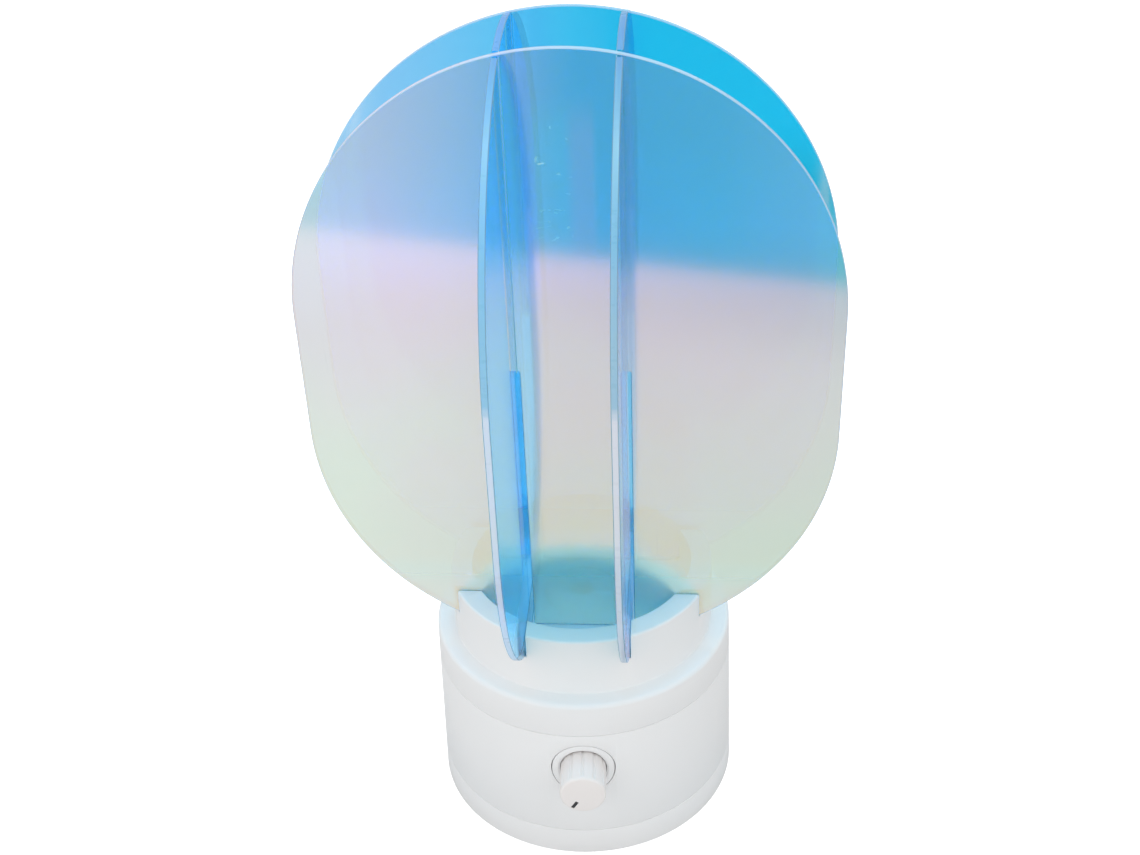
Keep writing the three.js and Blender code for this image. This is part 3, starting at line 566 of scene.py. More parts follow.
# Film colours at three slants, each with the stretch over which they take over: 0 is straight on, 1 edge on
PASSED_SLANTED = (0.28, 0.77, 0.92)
MIRRORED_SLANTED = (0.70, 0.22, 0.07)
SLANTED = (0.30, 0.45)
PASSED_GLANCING = (0.23, 0.60, 0.86)
MIRRORED_GLANCING = (0.34, 0.50, 0.64)
GLANCING = (0.62, 0.84)
PASSED_GRAZING = (0.20, 0.50, 0.64)
MIRRORED_GRAZING = (0.56, 0.48, 0.56)
GRAZING = (0.90, 0.96)
FILM_ROUGHNESS = 0.085
FOOT_ROUGHNESS = 0.32
GLANCING_ROUGHNESS = 0.25
FOOT_SPAN = (80 * MM, 122 * MM)
FILM_DRIFT = 0.03
FILM_TINTS = ((0.97, 1.0, 0.98), (1.0, 0.965, 1.0))
TINT_SPAN = (0.35, 0.65)
# Rims and bevels grow clearer towards the back, and paler there as painted light
BACK_SPAN = (5 * MM, 30 * MM)
BACK_RIM = (0.80, 0.90, 0.96)
BACK_CLEARNESS = 0.85
BACK_TINT = (0.96, 0.98, 1.0)
RIM_TINT = (0.78, 0.9, 0.96)
LINE_TINT = (0.7, 0.88, 0.96)
# Where the front panel's glue marks lie and how high the pinkish foot veil of painted light reaches, each as
# the ends of a soft border
HAZE_FOOT = (200 * MM, 216 * MM)
HAZE_TOP = (240 * MM, 256 * MM)
CYAN_LEFT = (-10 * MM, -6 * MM)
CYAN_RIGHT = (0, 4.5 * MM)
LILAC_RIGHT = (8 * MM, 11 * MM)
FOOT_VEIL_SPAN = (86 * MM, 100 * MM)
HAZE_CYAN = (0.08, 0.86, 1.0)
HAZE_LILAC = (0.66, 0.55, 0.85)
# Painted light: the pinkish veil near the foot, and the pale cyan glints of the bubbles
FOOT_VEIL_TONE = (0.9, 0.62, 0.58)
BUBBLE_GLINT_TONE = (0.70, 1.0, 1.0)
BUBBLE_GLINT_SPAN = (0.60, 0.72)
SCRATCH_SPAN = (0.70, 0.78)
HAZE_SHARE = 0.16
BUBBLE_GLINT_SHARE = 0.55
SCRATCH_SHARE = 0.04
FOOT_VEIL_SHARE = 0.12
HAZE_ROUGHNESS = 0.5
# Plastics and small parts
PLASTIC_WHITE = (0.88, 0.88, 0.885)
CAP_WHITE = (0.875, 0.835, 0.82)
PLASTIC_SHADES = (0.985, 1.01)
PLASTIC_ROUGHNESS = (0.46, 0.56)
PLASTIC_SPECULAR = 0.4
NOISE_SPAN = (0.3, 0.7)
GRAIN_SHADES = (0.88, 1.12)
GRAIN_SPAN = (0.2, 0.8)
GRAIN_ROUGHNESS = 0.08  # rougher and smoother by this much
FACE_TINT = (0.97, 0.985, 0.99)
SLOT_TINT = (0.80, 0.92, 0.96)
SLOT_SHEEN = (0.9, 0.97, 1)
DOME_TINT = (0.95, 0.97, 0.95)
DIFFUSER_TONES = ((0.86, 0.87, 0.87), (0.88, 0.88, 0.88))
SOURCE_TONE = (0.52, 0.52, 0.50)
DIFFUSER_TINT = (0.9, 0.92, 0.9)
DIFFUSER_CLEARNESS = 0.08
DIFFUSER_ROUGHNESS = 0.4


def film_material(name, foot, top, passed_stops, mirrored_stops, left_red=None):
    """The dichroic face: it passes blue and mirrors the warm rest; both drift with angle, and with height
    partly as painted light and shade.
    """
    g = Graph(name)
    drift = g.wander(g.noise(scale=9.0, detail=2.0), FILM_DRIFT)
    height = g.plus(g.line(g.axis("Z"), foot, top), drift)
    facing = g.facing()
    slanted = g.spread(facing, *SLANTED)
    glancing = g.spread(facing, *GLANCING)
    grazing = g.spread(facing, *GRAZING)
    tint = g.blend(g.spread(g.noise(scale=16.0, detail=2.0), *TINT_SPAN), *FILM_TINTS)
    passed = g.ramp(height, passed_stops)
    # Painted light: more red passes on the left
    if left_red:
        left = g.ramp(height, [(at, (left_red, green, blue)) for at, (_, green, blue) in passed_stops])
        passed = g.blend(g.fall(g.axis("X"), *LEFT_RED_SPAN), passed, left)
    passed = g.blend(slanted, passed, PASSED_SLANTED)
    passed = g.blend(glancing, passed, PASSED_GLANCING)
    passed = g.blend(grazing, passed, PASSED_GRAZING)
    mirrored = g.blend(slanted, g.ramp(height, mirrored_stops), MIRRORED_SLANTED)
    mirrored = g.blend(glancing, mirrored, MIRRORED_GLANCING)
    mirrored = g.blend(grazing, mirrored, MIRRORED_GRAZING)
    mirrored = g.blend(1.0, mirrored, tint, "MULTIPLY")
    blur = g.spread(g.axis("Z"), *FOOT_SPAN, FOOT_ROUGHNESS, FILM_ROUGHNESS)
    blur = g.most(blur, g.times(glancing, GLANCING_ROUGHNESS))
    haze, shade = film_haze(g)
    return g.finish(g.mix(haze, g.add(g.clear(passed), g.gloss(mirrored, blur)), shade))


def film_haze(g):
    """Bubbles, painted as pale cyan glints, and glue marks in the front panel's middle, and scratches and a
    pinkish veil of painted light near the foot on the films' front half.
    """
    front = g.math("LESS_THAN", g.axis("Y"), 0.0)
    across, height = g.axis("X"), g.axis("Z")
    band = g.times(g.spread(height, *HAZE_FOOT), g.fall(height, *HAZE_TOP))
    cyan = g.times(g.spread(across, *CYAN_LEFT), g.fall(across, *CYAN_RIGHT))
    lilac = g.times(g.spread(across, *CYAN_RIGHT), g.fall(across, *LILAC_RIGHT))
    dashes = g.noise(scale=1.0, roughness=0.6, stretch=(230, 230, 620), distortion=0.6)
    # The bubbles, painted as pale cyan glints
    bubble_glints = g.times(g.spread(dashes, *BUBBLE_GLINT_SPAN), cyan, band)
    hairs = g.noise(scale=1.0, detail=1.0, stretch=(1500, 1, 45), distortion=0.3)
    scratches = g.spread(hairs, *SCRATCH_SPAN, 0.0, SCRATCH_SHARE)
    marks = g.times(g.plus(cyan, lilac), band, HAZE_SHARE)
    # A pinkish veil near the foot, painted light
    foot_veil = g.spread(height, *FOOT_VEIL_SPAN, FOOT_VEIL_SHARE, 0.0)
    haze = g.plus(marks, g.times(bubble_glints, BUBBLE_GLINT_SHARE), scratches, foot_veil)
    colour = g.blend(lilac, HAZE_CYAN, HAZE_LILAC)
    colour = g.blend(g.fall(height, *FOOT_VEIL_SPAN), colour, FOOT_VEIL_TONE)
    colour = g.blend(bubble_glints, colour, BUBBLE_GLINT_TONE)
    return g.times(haze, front), g.principled(base_color=colour, roughness=HAZE_ROUGHNESS)


def polished_material(name, tint, mirrored, roughness, straight, edge_on=0.5):
    """Clear plastic with a polished face, which mirrors more the more it is seen edge on."""
    g = Graph(name)
    return g.finish(g.mix(g.sheen(straight, edge_on), g.clear(tint), g.gloss(mirrored, roughness)))


def rim_material(name, foot, top, stops, clearness, left_colour=None):
    """The cut edge, frosted by the saw: its colour is painted light, the glow of light from the sheet, which
    drifts with height.
    """
    g = Graph(name)
    saw = g.noise(scale=700.0, stretch=(0.15, 0.15, 1.0))
    height = g.plus(g.line(g.axis("Z"), foot, top), g.wander(saw, RIM_DRIFT))
    rough = g.line(saw, *SAW_SPAN, *RIM_ROUGHNESS)
    back = g.spread(g.axis("Y"), *BACK_SPAN)
    shade = g.ramp(height, stops)
    if left_colour:
        left = g.times(g.fall(g.axis("X"), *LEFT_RIM_SPAN), g.spread(height, *LEFT_RIM_HEIGHT))
        shade = g.blend(left, shade, left_colour)
    shade = g.blend(back, shade, BACK_RIM)
    frosted = g.principled(base_color=shade, roughness=rough)
    share = g.line(back, 0.0, 1.0, clearness, BACK_CLEARNESS)
    return g.finish(g.mix(share, frosted, g.clear(g.blend(back, RIM_TINT, BACK_TINT))))


def line_material(name, colour, clearness):
    """The fine bevel along a cut edge: its tone is painted shade where it bends the light away and a painted
    highlight where it gathers it.
    """
    g = Graph(name)
    shade = g.mottle(g.noise(scale=500.0, detail=2.0), colour, *LINE_SHADES)
    back = g.spread(g.axis("Y"), *BACK_SPAN)
    bent = g.principled(base_color=shade, roughness=LINE_ROUGHNESS)
    share = g.line(back, 0.0, 1.0, clearness, BACK_CLEARNESS)
    return g.finish(g.mix(share, bent, g.clear(g.blend(back, LINE_TINT, BACK_TINT))))


def white_plastic_material(name, colour):
    """Satin moulded plastic."""
    g = Graph(name)
    shade = g.mottle(g.noise(scale=28.0), colour, *PLASTIC_SHADES)
    rough = g.line(g.noise(scale=420.0), *NOISE_SPAN, *PLASTIC_ROUGHNESS)
    grain = g.noise(scale=2600.0, detail=2.0, roughness=0.6)
    normal = g.bump(grain, strength=0.25, distance=0.03 * MM)
    return g.finish(
        g.principled(base_color=shade, roughness=rough, specular_ior_level=PLASTIC_SPECULAR, normal=normal)
    )


def plain_material(name, colour, roughness, metallic=0.0, grain_scale=900.0):
    """A fine-grained material for small parts."""
    g = Graph(name)
    grain = g.noise(scale=grain_scale, detail=4.0, roughness=0.6)
    shade = g.mottle(grain, colour, *GRAIN_SHADES)
    rough = g.line(grain, *GRAIN_SPAN, roughness - GRAIN_ROUGHNESS, roughness + GRAIN_ROUGHNESS)
    normal = g.bump(grain, strength=0.3, distance=0.02 * MM)
    return g.finish(g.principled(base_color=shade, roughness=rough, metallic=metallic, normal=normal))


def diffuser_material():
    """The milky window over the light source, which lets only a hint of it through; the source's shade is
    painted into its colour as a darker spot.
    """
    g = Graph("milky_diffuser")
    flat = g.node("ShaderNodeVectorMath", {0: g.coordinates, 1: (1, 1, 0)}, operation="MULTIPLY")
    reach = g.node("ShaderNodeVectorMath", {0: flat.outputs["Vector"]}, operation="LENGTH").outputs["Value"]
    shade = g.blend(g.noise(scale=60.0, detail=2.0), *DIFFUSER_TONES)
    # Painted shade: a darker spot over the light source
    shade = g.blend(g.fall(reach, *SOURCE_SPOT), shade, SOURCE_TONE)
    milk = g.principled(base_color=shade, roughness=DIFFUSER_ROUGHNESS)
    return g.finish(g.mix(DIFFUSER_CLEARNESS, milk, g.clear(DIFFUSER_TINT)))


# Pieces

def half_outline(radius, drop, inner, outer, lap, open_at_top):
    """Half of a panel's outline in its own plane, from the foot up, with the slot between inner and outer."""
    lower, upper = (0, drop), (0, drop + PANEL_STRAIGHT)
    foot_angle = math.degrees(math.asin(-drop / radius))
    half_foot = radius * math.cos(math.radians(foot_angle))
    half = arc(lower, radius, foot_angle, 0, round(ARC_STEPS * -foot_angle / 180))
    if open_at_top:
        outer_angle = math.degrees(math.acos(outer / radius))
        inner_angle = math.degrees(math.acos(inner / radius))
        half += arc(upper, radius, 0, outer_angle, round(ARC_STEPS * outer_angle / 180))
        bottom = lap + SLOT_CORNER
        half += arc((outer - SLOT_CORNER, bottom), SLOT_CORNER, 0, -90, CORNER_STEPS)
        half += arc((inner + SLOT_CORNER, bottom), SLOT_CORNER, -90, -180, CORNER_STEPS)
        half += arc(upper, radius, inner_angle, 90, CROWN_STEPS)[:-1]
    else:
        end = lap - SLOT_CORNER
        slot = [(inner, 0)]
        slot += arc((inner + SLOT_CORNER, end), SLOT_CORNER, 180, 90, CORNER_STEPS)
        slot += arc((outer - SLOT_CORNER, end), SLOT_CORNER, 90, 0, CORNER_STEPS)
        slot += [(outer, 0)]
        half = slot + [(half_foot, 0)] + half[1:]
        half += arc(upper, radius, 0, 90, ARC_STEPS // 2)[:-1]
    return half


def panel_measures(node):
    """A panel's end radius, thickness, middle across the sheet, foot level and height."""
    low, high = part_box(node)
    wide, thin = ("x", "y") if node in ACROSS else ("y", "x")
    radius = (getattr(high, wide) - getattr(low, wide)) / 2
    thickness = getattr(high, thin) - getattr(low, thin)
    middle = (getattr(high, thin) + getattr(low, thin)) / 2
    return radius, thickness, middle, low.z, high.z - low.z


def stand_up(obj, node, middle, foot):
    """Stands a flat outline up where a panel stands."""
    if node in ACROSS:
        return place(obj, Matrix.Translation((0, middle, foot)) @ UPRIGHT)
    return place(obj, Matrix.Translation((middle, 0, foot)) @ Matrix.Rotation(math.pi / 2, 4, "Z") @ UPRIGHT)


def panel_sheet(node):
    """A panel's sheet, with a material slot each for the kinds of faces that sheet_slot tells apart."""
    across = node in ACROSS
    radius, thickness, middle, foot, height = panel_measures(node)
    drop = height - radius - PANEL_STRAIGHT
    crossing = panel_measures("right_panel" if across else "rear_panel")
    slot_offset = abs(crossing[2])
    lap = height * LAP_SHARE + (LAP_GAP / 2 if across else -LAP_GAP / 2)
    near, far = slot_offset - thickness / 2, slot_offset + thickness / 2
    touch = LAP_TOUCH if across else LAP_CLEARANCE
    right = half_outline(radius, drop, near - touch, far + LAP_CLEARANCE, lap, not across)
    left = half_outline(radius, drop, near - LAP_CLEARANCE, far + touch, lap, not across)
    outline = right + [(0, drop + PANEL_STRAIGHT + radius)] + [(-x, z) for x, z in left[::-1]]
    sheet = prism(f"{node}_sheet", outline, -thickness / 2, thickness / 2)
    bm = bmesh.new()
    bm.from_mesh(sheet.data)
    rim = [e for e in bm.edges if abs(e.verts[0].co.z - e.verts[1].co.z) < thickness / 2]
    bmesh.ops.bevel(bm, geom=rim, offset=RIM_BEVEL, segments=2, profile=0.5, affect="EDGES")
    bm.to_mesh(sheet.data)
    bm.free()
    soften(sheet, SHEET_SHARP_ANGLE)
    # The film lies on the side away from the lamp's axis
    film_side = math.copysign(1, middle) * (-1 if across else 1)
    for polygon in sheet.data.polygons:
        centre = polygon.center
        near_slot = abs(abs(centre.x) - slot_offset) < thickness / 2 + LAP_CLEARANCE + BEVEL_REACH
        at_slot_level = centre.y < lap + OVERRUN if across else centre.y > lap - OVERRUN
        polygon.material_index = sheet_slot(polygon.normal.z * film_side, near_slot and at_slot_level)
        polygon.use_smooth = polygon.material_index > 1
    return stand_up(sheet, node, middle, foot)


def sheet_slot(side, in_slot):
    """0 film, 1 bare face, 2 rim, 3 the rim's bevels, 4 slot walls, 5 the slots' bevels on the bare face."""
    if side > FACE_SIDE:
        return 0
    if side < -FACE_SIDE:
        return 1
    if in_slot:
        return 5 if side < -BEVEL_SIDE else 4
    return 3 if abs(side) > BEVEL_SIDE else 2


def build_panels():
    low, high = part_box("front_panel")
    film = film_material("dichroic_film", low.z, high.z, PASSED, MIRRORED)
    rear_film = film_material("dichroic_film_rear", low.z, high.z, PASSED_REAR, MIRRORED_REAR, LEFT_RED)
    clear = polished_material("acrylic_face", FACE_TINT, WHITE, roughness=0.08, straight=0.04, edge_on=0.3)
    wall = polished_material("acrylic_slot_wall", SLOT_TINT, SLOT_SHEEN, roughness=0.1, straight=0.06)
    rim_across = rim_material("acrylic_rim_across", low.z, high.z, RIM_ACROSS, CLEARNESS_ACROSS, LEFT_RIM)
    rim_along = rim_material("acrylic_rim_along", low.z, high.z, RIM_ALONG, CLEARNESS_ALONG)
    outline = line_material("acrylic_rim_bevel", OUTLINE_TONE, OUTLINE_CLEARNESS)
    faint = line_material("acrylic_rim_bevel_faint", FAINT_TONE, FAINT_CLEARNESS)
    pale = line_material("acrylic_slot_bevel_pale", SLOT_LINE_PALE, SLOT_LINE_CLEARNESS)
    blue = line_material("acrylic_slot_bevel_blue", SLOT_LINE_BLUE, SLOT_LINE_CLEARNESS)
    for node in ACROSS:
        looks = [rear_film if node == "rear_panel" else film, clear, rim_across, faint, wall, blue]
        dress(panel_sheet(node), looks, node, "panel_acrylic", node)
    for node in ALONG:
        looks = [film, clear, rim_along, outline, wall, pale]
        dress(panel_sheet(node), looks, "side_panels", "panel_acrylic", node)


def wall_outside(level):
    foot_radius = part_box("base_housing")[1].x
    foot_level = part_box("base_housing")[0].z
    draft = (foot_radius - SHOULDER_RADIUS) / (SHOULDER_LEVEL - foot_level)
    return foot_radius - draft * (level - foot_level)


def wall_inside(level):
    return wall_outside(level) - WALL_THICKNESS


def lower_edge(level):
    """The rounded outer edge at a wall's foot."""
    return arc((wall_outside(level) - SEAM_EDGE, level + SEAM_EDGE), SEAM_EDGE, -90, 0, SEAM_STEPS)


def upper_edge(level):
    """The rounded outer edge at a wall's top."""
    return arc((wall_outside(level) - SEAM_EDGE, level - SEAM_EDGE), SEAM_EDGE, 0, 90, SEAM_STEPS)


def slot_cutters():
    """The panels' own outline, grown by their clearance, for the collar's eight slots."""
    cutters = []
    for node in ACROSS + ALONG:
        radius, thickness, middle, foot, height = panel_measures(node)
        drop = height - radius - PANEL_STRAIGHT + LAP_GAP / 2
        radius += SLOT_CLEARANCE
        half = thickness / 2 + SLOT_CLEARANCE
        right = arc((0, drop), radius, math.degrees(math.asin(-drop / radius)), 0, CUTTER_STEPS)
        outline = right + [(-x, z) for x, z in right[::-1]]
        cutters.append(stand_up(prism("cutter", outline, -half, half), node, middle, foot - LAP_GAP / 2))
    return cutters


def build_top_cover(white):
    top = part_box("top_cover")[1].z
    foot = UPPER_SEAM + SEAM_GAP / 2
    underside = SHOULDER_LEVEL - WALL_THICKNESS
    shoulder = (SHOULDER_RADIUS - SHOULDER_FILLET, SHOULDER_LEVEL - SHOULDER_FILLET)
    collar_foot = (COLLAR_OUTER + COLLAR_FOOT_FILLET, SHOULDER_LEVEL + COLLAR_FOOT_FILLET)
    outer_edge = (COLLAR_OUTER - COLLAR_FILLET, top - COLLAR_FILLET)
    inner_edge = (COLLAR_INNER + COLLAR_INNER_FILLET, top - COLLAR_INNER_FILLET)
    profile = [
        (LENS_WINDOW, WELL_FLOOR - FLOOR_THICKNESS),
        (COLLAR_INNER, WELL_FLOOR - FLOOR_THICKNESS),
        (COLLAR_INNER, underside),
        (wall_inside(underside), underside),
        (wall_inside(foot), foot),
        *lower_edge(foot),
        *arc(shoulder, SHOULDER_FILLET, 0, 90, SHOULDER_STEPS),
        *arc(collar_foot, COLLAR_FOOT_FILLET, 270, 180, COLLAR_FOOT_STEPS),
        *arc(outer_edge, COLLAR_FILLET, 0, 90, FILLET_STEPS),
        *arc(inner_edge, COLLAR_INNER_FILLET, 90, 180, COLLAR_INNER_STEPS),
        (COLLAR_INNER, WELL_FLOOR),
        (LENS_WINDOW, WELL_FLOOR),
    ]
    cover = lathe("top_cover_shell", profile, ring=True)
    carve(cover, slot_cutters())
    round_edges(cover, EDGE_ROUND)
    soften(cover)
    dress(cover, [white], "base", "white_plastic", "top_cover")


def build_housing(white):
    foot, top = LOWER_SEAM + SEAM_GAP / 2, UPPER_SEAM - SEAM_GAP / 2
    profile = [(wall_inside(foot), foot), *lower_edge(foot), *upper_edge(top), (wall_inside(top), top)]
    housing = lathe("base_housing_shell", profile, ring=True)
    reach = wall_outside(foot) + OVERRUN
    dial_hole = place(rod("cutter", BEZEL_RADIUS + HOLE_GAP, 0, reach, HOLE_SIDES), DIAL_FRAME)
    low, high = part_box("dc_inlet")
    inlet_frame = Matrix.Translation((0, 0, (low.z + high.z) / 2)) @ Matrix.Rotation(-math.pi / 2, 4, "X")
    inlet_hole = place(rod("cutter", INLET_NOZZLE + HOLE_GAP, 0, reach, INLET_SIDES), inlet_frame)
    carve(housing, [dial_hole, inlet_hole])
    round_edges(housing, SEAM_ROUND)
    soften(housing)
    dress(housing, [white], "base", "white_plastic", "base_housing")


def build_bottom_cover(white):
    low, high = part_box("bottom_cover")
    top = LOWER_SEAM - SEAM_GAP / 2
    edge = wall_outside(FOOT_REVEAL) - FOOT_FILLET
    lip_outside, lip_inside = wall_inside(top) - LIP_OUTSIDE, wall_inside(top) - LIP_INSIDE
    profile = [
        (0, low.z),
        (edge - FOOT_LIP, low.z),
        (edge - FOOT_LIP, FOOT_REVEAL),
        *arc((edge, FOOT_REVEAL + FOOT_FILLET), FOOT_FILLET, -90, 0, FILLET_STEPS),
        *upper_edge(top),
        (lip_outside, top),
        (lip_outside, high.z),
        (lip_inside, high.z),
        (lip_inside, low.z + BOTTOM_PLATE),
        (0, low.z + BOTTOM_PLATE),
    ]
    cover = lathe("bottom_cover_pan", profile)
    soften(cover)
    dress(cover, [white], "base", "white_plastic", "bottom_cover")


def flute_cutters(back, stop):
    """The knob's flutes, open at its back and round at their front ends."""
    profile = [(0, back - OVERRUN), (FLUTE_RADIUS, back - OVERRUN)]
    profile += arc((0, stop), FLUTE_RADIUS, 0, 90, FILLET_STEPS)
    reach = KNOB_RADIUS + FLUTE_STANDOFF
    cutters = []
    for i in range(FLUTES):
        turn = 2 * math.pi * i / FLUTES
        shift = (reach * math.cos(turn), reach * math.sin(turn), 0)
        cutters.append(place(lathe("cutter", profile, FLUTE_SIDES), Matrix.Translation(shift)))
    return cutters


def build_dial(cap_white, black):
    wall = wall_outside(DIAL_LEVEL)
    face, back = wall + KNOB_PROUD, wall - KNOB_TAIL
    profile = [(0, back), (KNOB_RADIUS, back)]
    profile += arc((KNOB_RADIUS - KNOB_EDGE, face - KNOB_EDGE), KNOB_EDGE, 0, 90, FILLET_STEPS)
    profile += [(0, face)]
    cap = lathe("dimmer_knob_cap", profile, KNOB_SIDES)
    carve(cap, flute_cutters(back, face - (face - back) * FLUTE_STOP_SHARE))
    round_edges(cap, KNOB_ROUND)
    place(cap, DIAL_FRAME)
    soften(cap, KNOB_SHARP_ANGLE)
    dress(cap, [cap_white], "dial", "white_plastic", "dimmer_knob")
    near, far = (KNOB_RADIUS * share for share in POINTER_SHARES)
    bar = block(
        "knob_pointer_inlay",
        (near, -POINTER_WIDTH / 2, face - POINTER_SUNK),
        (far, POINTER_WIDTH / 2, face + POINTER_RAISED),
    )
    round_edges(bar, POINTER_ROUND)
    place(bar, DIAL_FRAME @ Matrix.Rotation(POINTER_ANGLE, 4, "Z"))
    soften(bar)
    dress(bar, [black], "dial", "black_plastic", "knob_pointer")


def build_bezel(white):
    wall = wall_outside(DIAL_LEVEL)
    profile = [
        (BEZEL_BORE, wall - BEZEL_DEPTH),
        (BEZEL_RADIUS, wall - BEZEL_DEPTH),
        (BEZEL_RADIUS, wall + OVERRUN),
        (KNOB_HOLE, wall + OVERRUN),
        (KNOB_HOLE, wall - BEZEL_STEP),
        (BEZEL_BORE, wall - BEZEL_STEP),
    ]
    tube = lathe("knob_bezel_ring", profile, BEZEL_SIDES, ring=True)
    place(tube, DIAL_FRAME)
    foot, top = LOWER_SEAM, UPPER_SEAM
    envelope = lathe("cutter", [(0, foot), (wall_outside(foot), foot), (wall_outside(top), top), (0, top)])
    carve(tube, [envelope], "INTERSECT")
    round_edges(tube, BEZEL_ROUND)
    soften(tube)
    dress(tube, [white], "base", "white_plastic", "knob_bezel")


def floor_material():
    """White paper, burnt out where nothing stands before it, and through the panels far off and behind; its
    painted shade falls off to the right and before the table's front edge, and its glow is painted light.
    """
    g = Graph("studio_floor_paper")
    across, back = g.axis("X"), g.axis("Y")
    fibre = g.line(g.noise(scale=60.0, detail=4.0), *NOISE_SPAN, *FIBRE_TONES)
    along = TABLE_EDGE_RIGHT - TABLE_EDGE_LEFT
    slope = along.y / along.x
    edge = g.plus(g.times(across, slope), TABLE_EDGE_RIGHT.y - slope * TABLE_EDGE_RIGHT.x)
    # Painted shade: the paper darkens to the right and before the table's front edge
    dimmed = g.spread(across, TABLE_EDGE_LEFT.x, TABLE_EDGE_RIGHT.x, *EDGE_DIMMING)
    dimming = g.spread(g.math("SUBTRACT", back, edge), 0.0, EDGE_WIDTH, dimmed, 1.0)
    tone = g.times(fibre, g.spread(across, *FLOOR_SPAN, *FLOOR_TONES), dimming)
    shade = g.node("ShaderNodeCombineColor", {"Red": tone, "Green": tone, "Blue": tone}).outputs["Color"]
    paper = g.principled(base_color=shade, roughness=PAPER_ROUGHNESS, specular_ior_level=PAPER_SPECULAR)
    path = g.node("ShaderNodeLightPath", {}).outputs
    direct = g.math("LESS_THAN", path["Transparent Depth"], NO_FACE)
    layered = g.math("GREATER_THAN", path["Transparent Depth"], ONE_PANEL)
    aside = g.most(g.math("ABSOLUTE", across), g.times(back, -1.0))
    away = g.most(aside, g.plus(back, g.times(layered, BACKDROP_SHIFT)))
    far = g.spread(away, BACKDROP_NEAR, BACKDROP_FAR, 0.0, BACKDROP_GLOW)
    behind = g.times(g.spread(back, *BEHIND_SPAN), g.line(layered, 0.0, 1.0, *BEHIND_GLOW))
    seen = g.times(path["Is Camera Ray"], g.most(direct, far, behind))
    glow = g.node("ShaderNodeEmission", {"Color": g.paint(WHITE), "Strength": seen}).outputs[0]
    return g.finish(g.add(paper, glow))


def card_material():
    """A glowing card painted as the darker room beyond the table's front edge, which only the panels mirror.
    """
    g = Graph("reflection_card_glow")
    across = g.line(g.axis("X"), CARD_BRIGHT_END, CARD_DARK_END)
    tone = g.ramp(across, CARD_TONES)
    fade_height = g.line(g.axis("X"), CARD_BRIGHT_END, CARD_DARK_END, *CARD_FADE)
    rise = g.spread(g.math("DIVIDE", g.axis("Z"), fade_height), 0.0, 1.0)
    card_glow = g.node("ShaderNodeEmission", {"Color": tone, "Strength": 1.0}).outputs[0]
    return g.finish(g.mix(rise, g.clear(WHITE), card_glow))


def build_stage():
    floor = block("studio_floor", (-FLOOR_HALF, -FLOOR_HALF, -FLOOR_THIN), (FLOOR_HALF, FLOOR_HALF, 0))
    floor.data.materials.append(floor_material())
    card = block("reflection_card", (-CARD_HALF, -CARD_THIN, CARD_THIN), (CARD_HALF, 0, CARD_HEIGHT))
    card.data.materials.append(card_material())
    along = TABLE_EDGE_RIGHT - TABLE_EDGE_LEFT
    turn = Matrix.Rotation(math.atan2(along.y, along.x), 4, "Z")
    card.matrix_world = Matrix.Translation((TABLE_EDGE_LEFT + TABLE_EDGE_RIGHT) / 2) @ turn
    for kind in ("camera", "diffuse", "transmission", "volume_scatter", "shadow"):
        setattr(card, f"visible_{kind}", False)


def area_light(name, location, size, power):
    data = bpy.data.lights.new(name, "AREA")
    data.shape = "DISK"
    data.size = size
    data.energy = power
    light = bpy.data.objects.new(name, data)
    light.location = location
    light.rotation_euler = (LIGHT_CENTRE - Vector(location)).to_track_quat("-Z", "Y").to_euler()
    light.visible_glossy = False
    bpy.context.scene.collection.objects.link(light)


def build_light():
    """A pale room: seen straight it is burnt out to white, as the photograph's background is."""
    world = bpy.data.worlds.new("studio")
    world.use_nodes = True
    tree = world.node_tree
    background = tree.nodes["Background"]
    background.inputs["Color"].default_value = (*WHITE, 1)
    direction = tree.nodes.new("ShaderNodeTexCoord").outputs["Generated"]
    unsigned = tree.nodes.new("ShaderNodeVectorMath")
    unsigned.operation = "ABSOLUTE"
    tree.links.new(direction, unsigned.inputs[0])
    weighed = tree.nodes.new("ShaderNodeVectorMath")
    weighed.operation = "DOT_PRODUCT"
    tree.links.new(unsigned.outputs["Vector"], weighed.inputs[0])
    weighed.inputs[1].default_value = ROOM_LIGHT
    seen = tree.nodes.new("ShaderNodeLightPath").outputs["Is Camera Ray"]
    strength = tree.nodes.new("ShaderNodeMix")
    tree.links.new(seen, strength.inputs["Factor"])
    tree.links.new(weighed.outputs["Value"], strength.inputs["A"])
    strength.inputs["B"].default_value = ROOM_SEEN
    tree.links.new(strength.outputs["Result"], background.inputs["Strength"])
    bpy.context.scene.world = world
    for light in LIGHTS:
        area_light(*light)


def build_camera():
    yaw, pitch, roll = (math.radians(a) for a in (CAMERA_YAW, CAMERA_PITCH, CAMERA_ROLL))
    forward = Vector((math.sin(yaw) * math.cos(pitch), math.cos(yaw) * math.cos(pitch), math.sin(pitch)))
    level = Vector((math.cos(yaw), -math.sin(yaw), 0))
    raised = level.cross(forward)
    right = level * math.cos(roll) + raised * math.sin(roll)
    up = raised * math.cos(roll) - level * math.sin(roll)
    data = bpy.data.cameras.new("photo_camera")
    data.sensor_width = SENSOR_WIDTH
    data.sensor_fit = "HORIZONTAL"
    data.lens = FOCAL_PIXELS / PHOTO_WIDTH * SENSOR_WIDTH
    data.clip_start, data.clip_end = CAMERA_CLIP
    camera = bpy.data.objects.new("photo_camera", data)
    turned = Matrix((right, up, -forward)).transposed().to_4x4()
    camera.matrix_world = Matrix.Translation(CAMERA_PLACE) @ turned
    bpy.context.scene.collection.objects.link(camera)
    bpy.context.scene.camera = camera


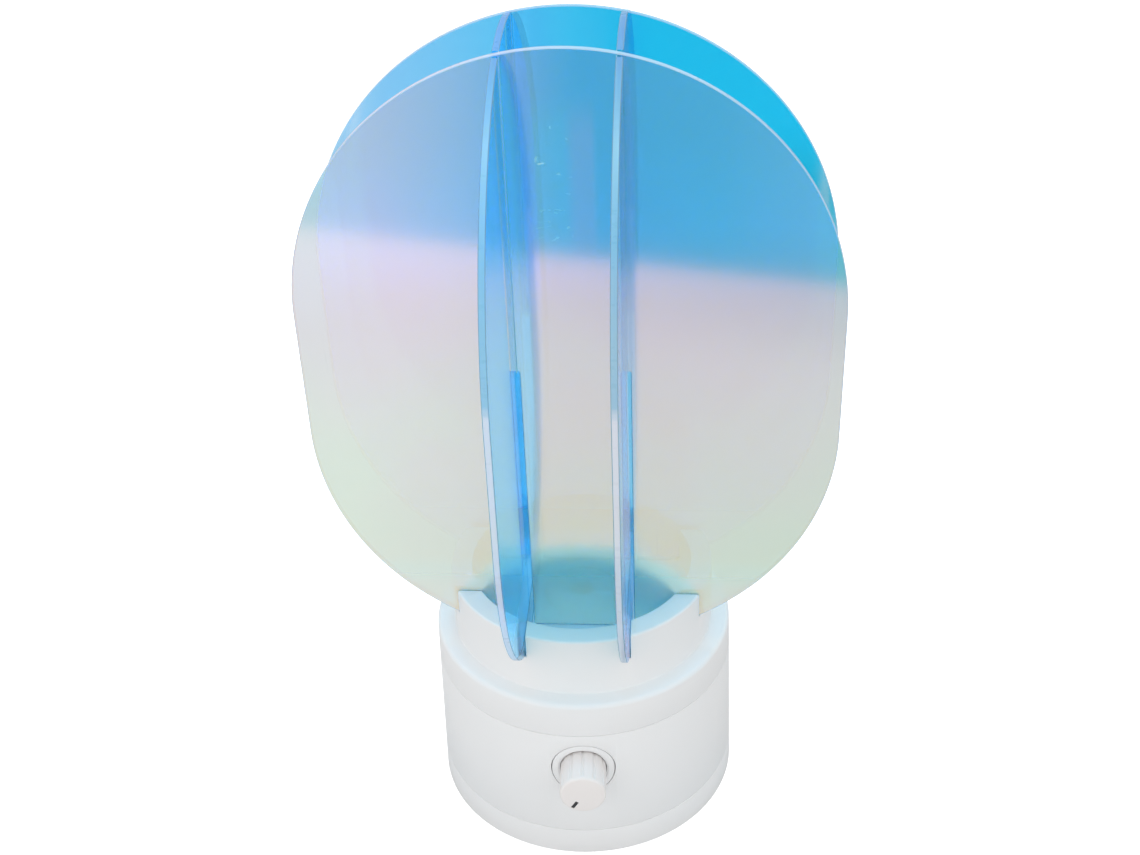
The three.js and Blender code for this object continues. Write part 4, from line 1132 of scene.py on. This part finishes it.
def dress_inner_nodes(shared):
    """Materials for the CAD nodes that stay as they are: steel, apart from those named here."""
    shown = {
        "brass": ["pot_bushing", "pot_nut"],
        "aluminium": ["led_board", "heat_sink", "capacitor"],
        "rubber": ["foot_1", "foot_2", "foot_3", "foot_4", "led_cable", "dial_cable"],
        "black": ["driver_chip", "inductor", "dc_inlet"],
        "white": ["reflector_cup", "led_connector", "dial_connector"],
        "board": ["control_board"],
        "phosphor": ["led_emitter"],
        "lens": ["led_dome"],
        "diffuser": ["led_lens"],
    }
    chosen = {node: key for key, nodes in shown.items() for node in nodes}
    for node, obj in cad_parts.items():
        obj.data.materials.clear()
        obj.data.materials.append(shared[chosen.get(node, "steel")])


build_camera()
white = white_plastic_material("white_plastic_satin", PLASTIC_WHITE)
cap_white = white_plastic_material("cap_plastic_satin", CAP_WHITE)
black = plain_material("black_plastic_satin", (0.03, 0.03, 0.033), roughness=0.45)
dress_inner_nodes(
    {
        "steel": plain_material("zinc_steel", (0.62, 0.63, 0.65), roughness=0.34, metallic=1.0),
        "brass": plain_material("turned_brass", (0.72, 0.55, 0.28), roughness=0.32, metallic=1.0),
        "aluminium": plain_material("satin_aluminium", (0.72, 0.73, 0.75), roughness=0.38, metallic=1.0),
        "rubber": plain_material("foot_rubber_matte", (0.05, 0.05, 0.053), roughness=0.85),
        "black": black,
        "white": white,
        "board": plain_material("solder_resist", (0.03, 0.22, 0.11), roughness=0.4, grain_scale=300.0),
        "phosphor": plain_material("phosphor_gel", (0.88, 0.76, 0.2), roughness=0.4),
        "lens": polished_material("lens_clear", DOME_TINT, WHITE, roughness=0.03, straight=0.05),
        "diffuser": diffuser_material(),
    }
)
build_panels()
build_top_cover(white)
build_housing(white)
build_bottom_cover(white)
build_dial(cap_white, black)
build_bezel(white)
build_stage()
build_light()

scene = bpy.context.scene
scene.view_settings.view_transform = "Standard"
scene.cycles.transparent_max_bounces = MOST_CLEAR_FACES
scene.cycles.glossy_bounces = MOST_MIRRORINGS
scene.cycles.use_denoising = True
